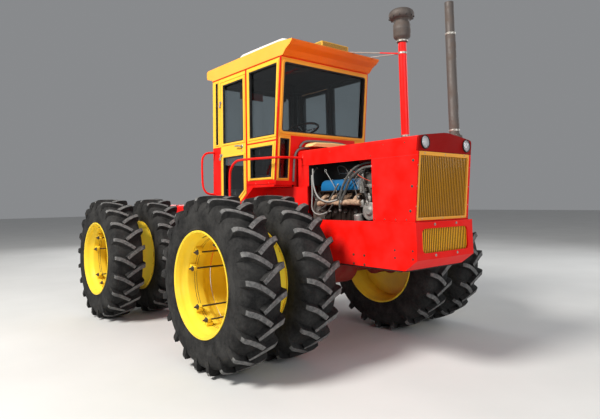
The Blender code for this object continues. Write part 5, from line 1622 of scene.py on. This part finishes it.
def interior():
    build = Build(
        "cab_lining", "chassis", LINING, MAT, BLACK, ALLOY, AXLE_RED, SEAL, SHADE_MAROON, slot="black_paint"
    )
    build.box((-0.685, 0.095, 3.372), (0.685, 1.475, 3.3795), 0, 0.003)
    build.box((-0.44, 0.232, 1.4004), (0.44, 1.48, 1.409), 1, 0.003)
    for i in range(16):
        x = -0.40 + 0.8 * i / 15
        build.box((x - 0.006, 0.50, 1.409), (x + 0.006, 0.94, 1.413), 1, 0.0015)
    for side in (-1, 1):
        # Posts in the corners and beside the doors
        build.tube(
            [(side * 0.672, cab_lean(1.95) + 0.055, 1.92), (side * 0.672, cab_lean(3.19) + 0.055, 3.19)],
            0.018, 0, 10, 1
        )
        build.box((side * 0.655, 0.70, 1.84), (side * 0.6995, 0.745, 3.195), 0, 0.008)
        build.box((side * 0.655, 1.329, 1.43), (side * 0.6995, 1.36, 3.195), 0, 0.008)
        build.box((side * 0.62, 1.44, 1.43), (side * 0.655, 1.485, 3.195), 0, 0.008)
        build.box((side * 0.47, 0.26, 1.8206), (side * 0.6945, 0.60, 1.834), 1, 0.003)
        build.box((side * 0.462, 0.64, 1.78), (side * 0.690, 0.70, 1.86), 0, 0.006)
        build.box((side * 0.4625, 1.05, 1.4206), (side * 0.688, 1.48, 1.78), 0, 0.012)
        # A maroon sheet just inside each narrow front window: painted shade, standing in for the shaded
        # inside seen through the glass.
        build.prism(
            [(0.215, 1.862), (0.222, 1.862), (0.177, 2.34), (0.170, 2.34)], "X", side * 0.548, side * 0.697,
            6, 0.001
        )
    # Dash with its dials, and the piece of red trim near the top of the cab
    build.prism(
        [(0.20, 2.02), (0.34, 2.02), (0.37, 2.06), (0.345, 2.25), (0.215, 2.30)], "X", -0.38, 0.38, 0, 0.008
    )
    for x in (-0.28, -0.18, -0.08, 0.08, 0.18, 0.28):
        dial = [(0, 0.004), (0.026, 0.004), (0.028, 0.008), (0.032, 0.008), (0.034, 0.003), (0.034, 0)]
        build.lathe(dial, (x, 0.352, 2.19), (0, 1, 0.13), 3, 28)
    build.box((-0.30, 1.4855, 3.06), (0.10, 1.4925, 3.17), 4, 0.002)
    # Levers and pedals
    for x, lean in ((0.20, 0.03), (0.26, -0.02), (-0.22, 0.02)):
        build.tube([(x, 0.86, 1.41), (x, 0.85 + lean, 1.66), (x + 0.01, 0.83 + lean, 1.90)], 0.007, 3, 10, 4)
        build.lathe(
            [(0, 0), (0.012, 0.002), (0.021, 0.016), (0.020, 0.030), (0.010, 0.040), (0, 0.042)],
            (x + 0.01, 0.83 + lean, 1.895), (0, 0, 1), 2, 20
        )
    for x in (-0.24, -0.34, 0.26):
        build.box((x - 0.035, 0.47, 1.53), (x + 0.035, 0.485, 1.62), 1, 0.005, 2)
        build.rod((x, 0.475, 1.55), (x, 0.33, 1.42), 0.008, 2, 10)
    build.done()
    wheel_build = Build(
        "steering_wheel", "chassis", WHEEL_GRIP, STEEL, BLACK, slot="black_paint",
        stands_for=["steering_column"]
    )
    foot, hub = Vector((0.0, 0.36, 2.0)), Vector((0.0, 0.52, 2.52))
    axis = (hub - foot).normalized()
    section = [(0.20 + 0.0138 * c, 0.0138 * s) for c, s in circle(12)]
    wheel_build.lathe(section[::-1], hub, axis, 0, 64, closed=True)
    across = Vector((1, 0, 0))
    behind = axis.cross(across)
    for c, s in circle(3, 90):
        way = across * c + behind * s
        wheel_build.rod(hub - axis * 0.022 + way * 0.02, hub - axis * 0.004 + way * 0.192, 0.008, 1, 12)
    wheel_build.lathe(
        [(0, -0.03), (0.03, -0.03), (0.034, -0.02), (0.034, -0.004), (0.026, 0.006), (0, 0.010)], hub, axis,
        2, 28
    )
    wheel_build.rod(foot, hub - axis * 0.03, 0.024, 2, 20)
    wheel_build.prism(
        [(0.285, 1.4006), (0.455, 1.4006), (0.44, 1.75), (0.43, 2.045), (0.30, 2.045)], "X", -0.145, 0.145, 2,
        0.012
    )
    wheel_build.done()


def cushion(low, high):
    """A stuffed vinyl pad with sewn channels, sculpted from a subdivided box, and its place."""
    low, high = Vector(low), Vector(high)
    crown, channels = 0.014, 4
    part = bmesh.new()
    bmesh.ops.create_cube(part, size=1.0)
    bmesh.ops.subdivide_edges(part, edges=part.edges[:], cuts=15, use_grid_fill=True)
    size = high - low
    for vertex in part.verts:
        u, v, w = vertex.co * 2
        squeeze = (1 - 0.06 * (abs(u * v)) ** 3) * (1 - 0.05 * abs(w) ** 4)
        top = crown * (1 - abs(u) ** 2.6) * (1 - abs(v) ** 2.6) if w > 0 else 0.0
        groove = 0.0
        if w > 0.5:
            phase = (u * 0.5 + 0.5) * channels
            groove = -0.012 * math.exp(-(((phase - round(phase)) / 0.10) ** 2)) * (1 - abs(v) ** 6)
        turned_in = 0.016 * (abs(u) ** 8 + abs(v) ** 8) * (1 if w > 0 else -0.4)
        height = w * size.z / 2 + top + groove - turned_in
        vertex.co = (u * squeeze * size.x / 2, v * squeeze * size.y / 2, height)
    return part, Matrix.Translation((low + high) / 2)


def seat():
    base = Build("seat_cushion", "chassis", VINYL, SEAL, slot="seat_vinyl", stands_for=["seat"])
    part, matrix = cushion((-0.245, 0.905, 1.872), (0.245, 1.33, 1.965))
    base.take(part, 0, matrix)
    bottom = base.done(60)
    modifier = bottom.modifiers.new("smooth", "SUBSURF")
    modifier.levels = modifier.render_levels = 1
    back = Build("seat_back", "chassis", VINYL, SEAL, slot="seat_vinyl")
    part, matrix = cushion((-0.235, -0.24, -0.04), (0.235, 0.23, 0.035))
    stand = Matrix.Translation((0, 1.395, 2.225)) @ Matrix.Rotation(math.radians(94), 4, "X")
    back.take(part, 0, stand @ matrix)
    upright = back.done(60)
    modifier = upright.modifiers.new("smooth", "SUBSURF")
    modifier.levels = modifier.render_levels = 1
    under = Build("seat_suspension", "chassis", BLACK, ZINC, slot="black_paint", stands_for=["seat_pedestal"])
    under.box((-0.17, 0.94, 1.8605), (0.17, 1.40, 1.8715), 0, 0.004)
    under.box((-0.155, 1.025, 1.4006), (0.155, 1.315, 1.42), 0, 0.005)
    for side in (-1, 1):
        under.box((side * 0.13, 1.04, 1.42), (side * 0.145, 1.30, 1.50), 0, 0.004)
        under.rod((side * 0.12, 1.06, 1.46), (side * 0.12, 1.29, 1.84), 0.012, 0, 12)
        under.rod((side * 0.10, 1.29, 1.46), (side * 0.10, 1.06, 1.84), 0.012, 0, 12)
    coil = [
        (
            0.045 * math.cos(t), 1.17 + 0.045 * math.sin(t), 1.43 + 0.40 * t / (12 * math.pi)
        ) for t in [12 * math.pi * k / 96 for k in range(97)]
    ]
    under.tube(coil, 0.007, 1, 8, 1)
    under.box((-0.15, 1.04, 1.835), (0.15, 1.30, 1.860), 0, 0.004)
    under.done()


cab_paint()
window_trim()
cab_fittings()
roof_details()
interior()
seat()

# ---------------------------------------------------------------- rails, yoke and rear half


def rear_half():
    repaint(AXLE_RED, "front_axle", "rear_axle")
    repaint(IRON, "centre_yoke", "drawbar")
    repaint(FRAME_RED, "rear_frame")
    repaint(STEEL, "cylinder_rod_right", "cylinder_rod_left")
    repaint(BLACK, "cylinder_barrel_right", "cylinder_barrel_left")
    tank = Build("tank_shell", "rear_half", RED, ZINC, BLACK, SEAL, slot="body_red", stands_for=["fuel_tank"])
    outline = rectangle(-0.4195, 1.2008, 0.4195, 1.5795, 0.06, 8)
    tank.prism(outline, "Y", 2.2505, 3.4995, 0, 0.008)
    for y in (2.50, 3.25):
        tank.band(grown(outline, 0.004), outline, "Y", y - 0.022, y + 0.022, 2, 0.001)
        for side in (-1, 1):
            tank.bolt((side * 0.424, y, 1.24), (side, 0, 0), 0.008, 1)
    tank.lathe(
        [
            (0.0, 0.0), (0.052, 0), (0.052, 0.014), (0.060, 0.016), (0.062, 0.022), (0.062, 0.040),
            (0.056, 0.048), (0, 0.050)
        ],
        (0.25, 3.30, 1.5795), (0, 0, 1), 2, 36
    )
    for i in range(12):
        turn = 2 * math.pi * i / 12
        tank.box(
            (-0.0025, -0.0035, 0.022), (0.0025, 0.002, 0.042), 2, 0.001, 1,
            Matrix.Translation(
                (0.25, 3.30, 1.5795)
            ) @ Matrix.Rotation(turn, 4, "Z") @ Matrix.Translation((0, 0.063, 0))
        )
    tank.done()
    bolts = Build("rear_frame_bolts", "rear_half", ZINC, FRAME_RED, slot="bright_steel")
    for side in (-1, 1):
        out = side * (FRAME_HALF + TOUCH)
        for y in (1.90, 2.0):
            for z in (0.80, 0.92, 1.04):
                bolts.bolt((out, y, z), (side, 0, 0), 0.010, 0)
        for y in (2.75, 2.86, 3.10, 3.21):
            bolts.bolt((out, y, 1.02), (side, 0, 0), 0.010, 0)
        for y in (3.50, 3.56):
            for z in (0.86, 1.12):
                bolts.bolt((out, y, z), (side, 0, 0), 0.009, 0)
        for z in (0.60, 0.88):
            bolts.bolt((side * 0.12, 3.6406, z), (0, 1, 0), 0.012, 0)
    bolts.bolt_ring("Y", (0, 1.8495, 0.86), (0, -1, 0), 0.135, 12, 0, 0.008, 0, 0.003)
    bolts.done()
    pin = Build("king_pin_caps", "centre_yoke", ZINC, IRON, slot="bright_steel")
    pin.lathe(
        [(0, 0), (0.062, 0), (0.064, 0.004), (0.062, 0.012), (0.03, 0.016), (0, 0.016)], (0, PIVOT_Y, 1.1702),
        (0, 0, 1), 0, 32
    )
    pin.bolt_ring("Z", (0, PIVOT_Y, 1.184), (0, 0, 1), 0.042, 3, 0, 0.007)
    pin.done()
    for name, side in SIDES:
        x = side * 0.36
        gland = Build(
            "cylinder_gland_" + name, "cylinder_barrel_" + name, ZINC, BLACK, HOSE, slot="black_paint"
        )
        gland.lathe(
            [
                (0.0275, 0), (0.046, 0), (0.0475, 0.003), (0.0475, 0.030), (0.046, 0.033), (0.0451, 0.033),
                (0.0451, 0.0005)
            ],
            (x, 1.1425, 0.83), (0, 1, 0), 0, 36
        )
        gland.lathe(
            [(0.0452, 0), (0.0475, 0.002), (0.0475, 0.016), (0.0452, 0.018)], (x, 0.67, 0.83), (0, 1, 0), 1,
            36, closed=True
        )
        for y in (0.70, 1.10):
            gland.rod((x, y, 0.874), (x, y, 0.895), 0.011, 0, 12)
        gland.tube(
            [
                (x, 0.70, 0.893), (x, 0.72, 0.905), (x, 0.80, 0.908), (x, 1.02, 0.908), (x, 1.09, 0.905),
                (x, 1.10, 0.893)
            ],
            0.006, 1, 8, 4
        )
        gland.done()


def rails():
    build = Build("rail_brackets", "chassis", RED, ZINC, slot="body_red")
    for side in (-1, 1):
        build.lathe(
            [(0, 0), (0.030, 0), (0.030, 0.004), (0.020, 0.007), (0.0155, 0.010)],
            (side * (HOOD_HALF + TOUCH), 0.05, 2.105), (side, 0, 0), 0, 28
        )
        build.box(
            (side * (CAB_HALF + TOUCH), 0.97, 1.3815), (side * (CAB_HALF + 0.008), 1.0, 1.389), 0, 0.002
        )
        for z in (0.022, -0.022):
            build.dome((side * (HOOD_HALF + 0.004), 0.05, 2.105 + z), (side, 0, 0), 0.004, 1)
    build.done()


rear_half()
rails()
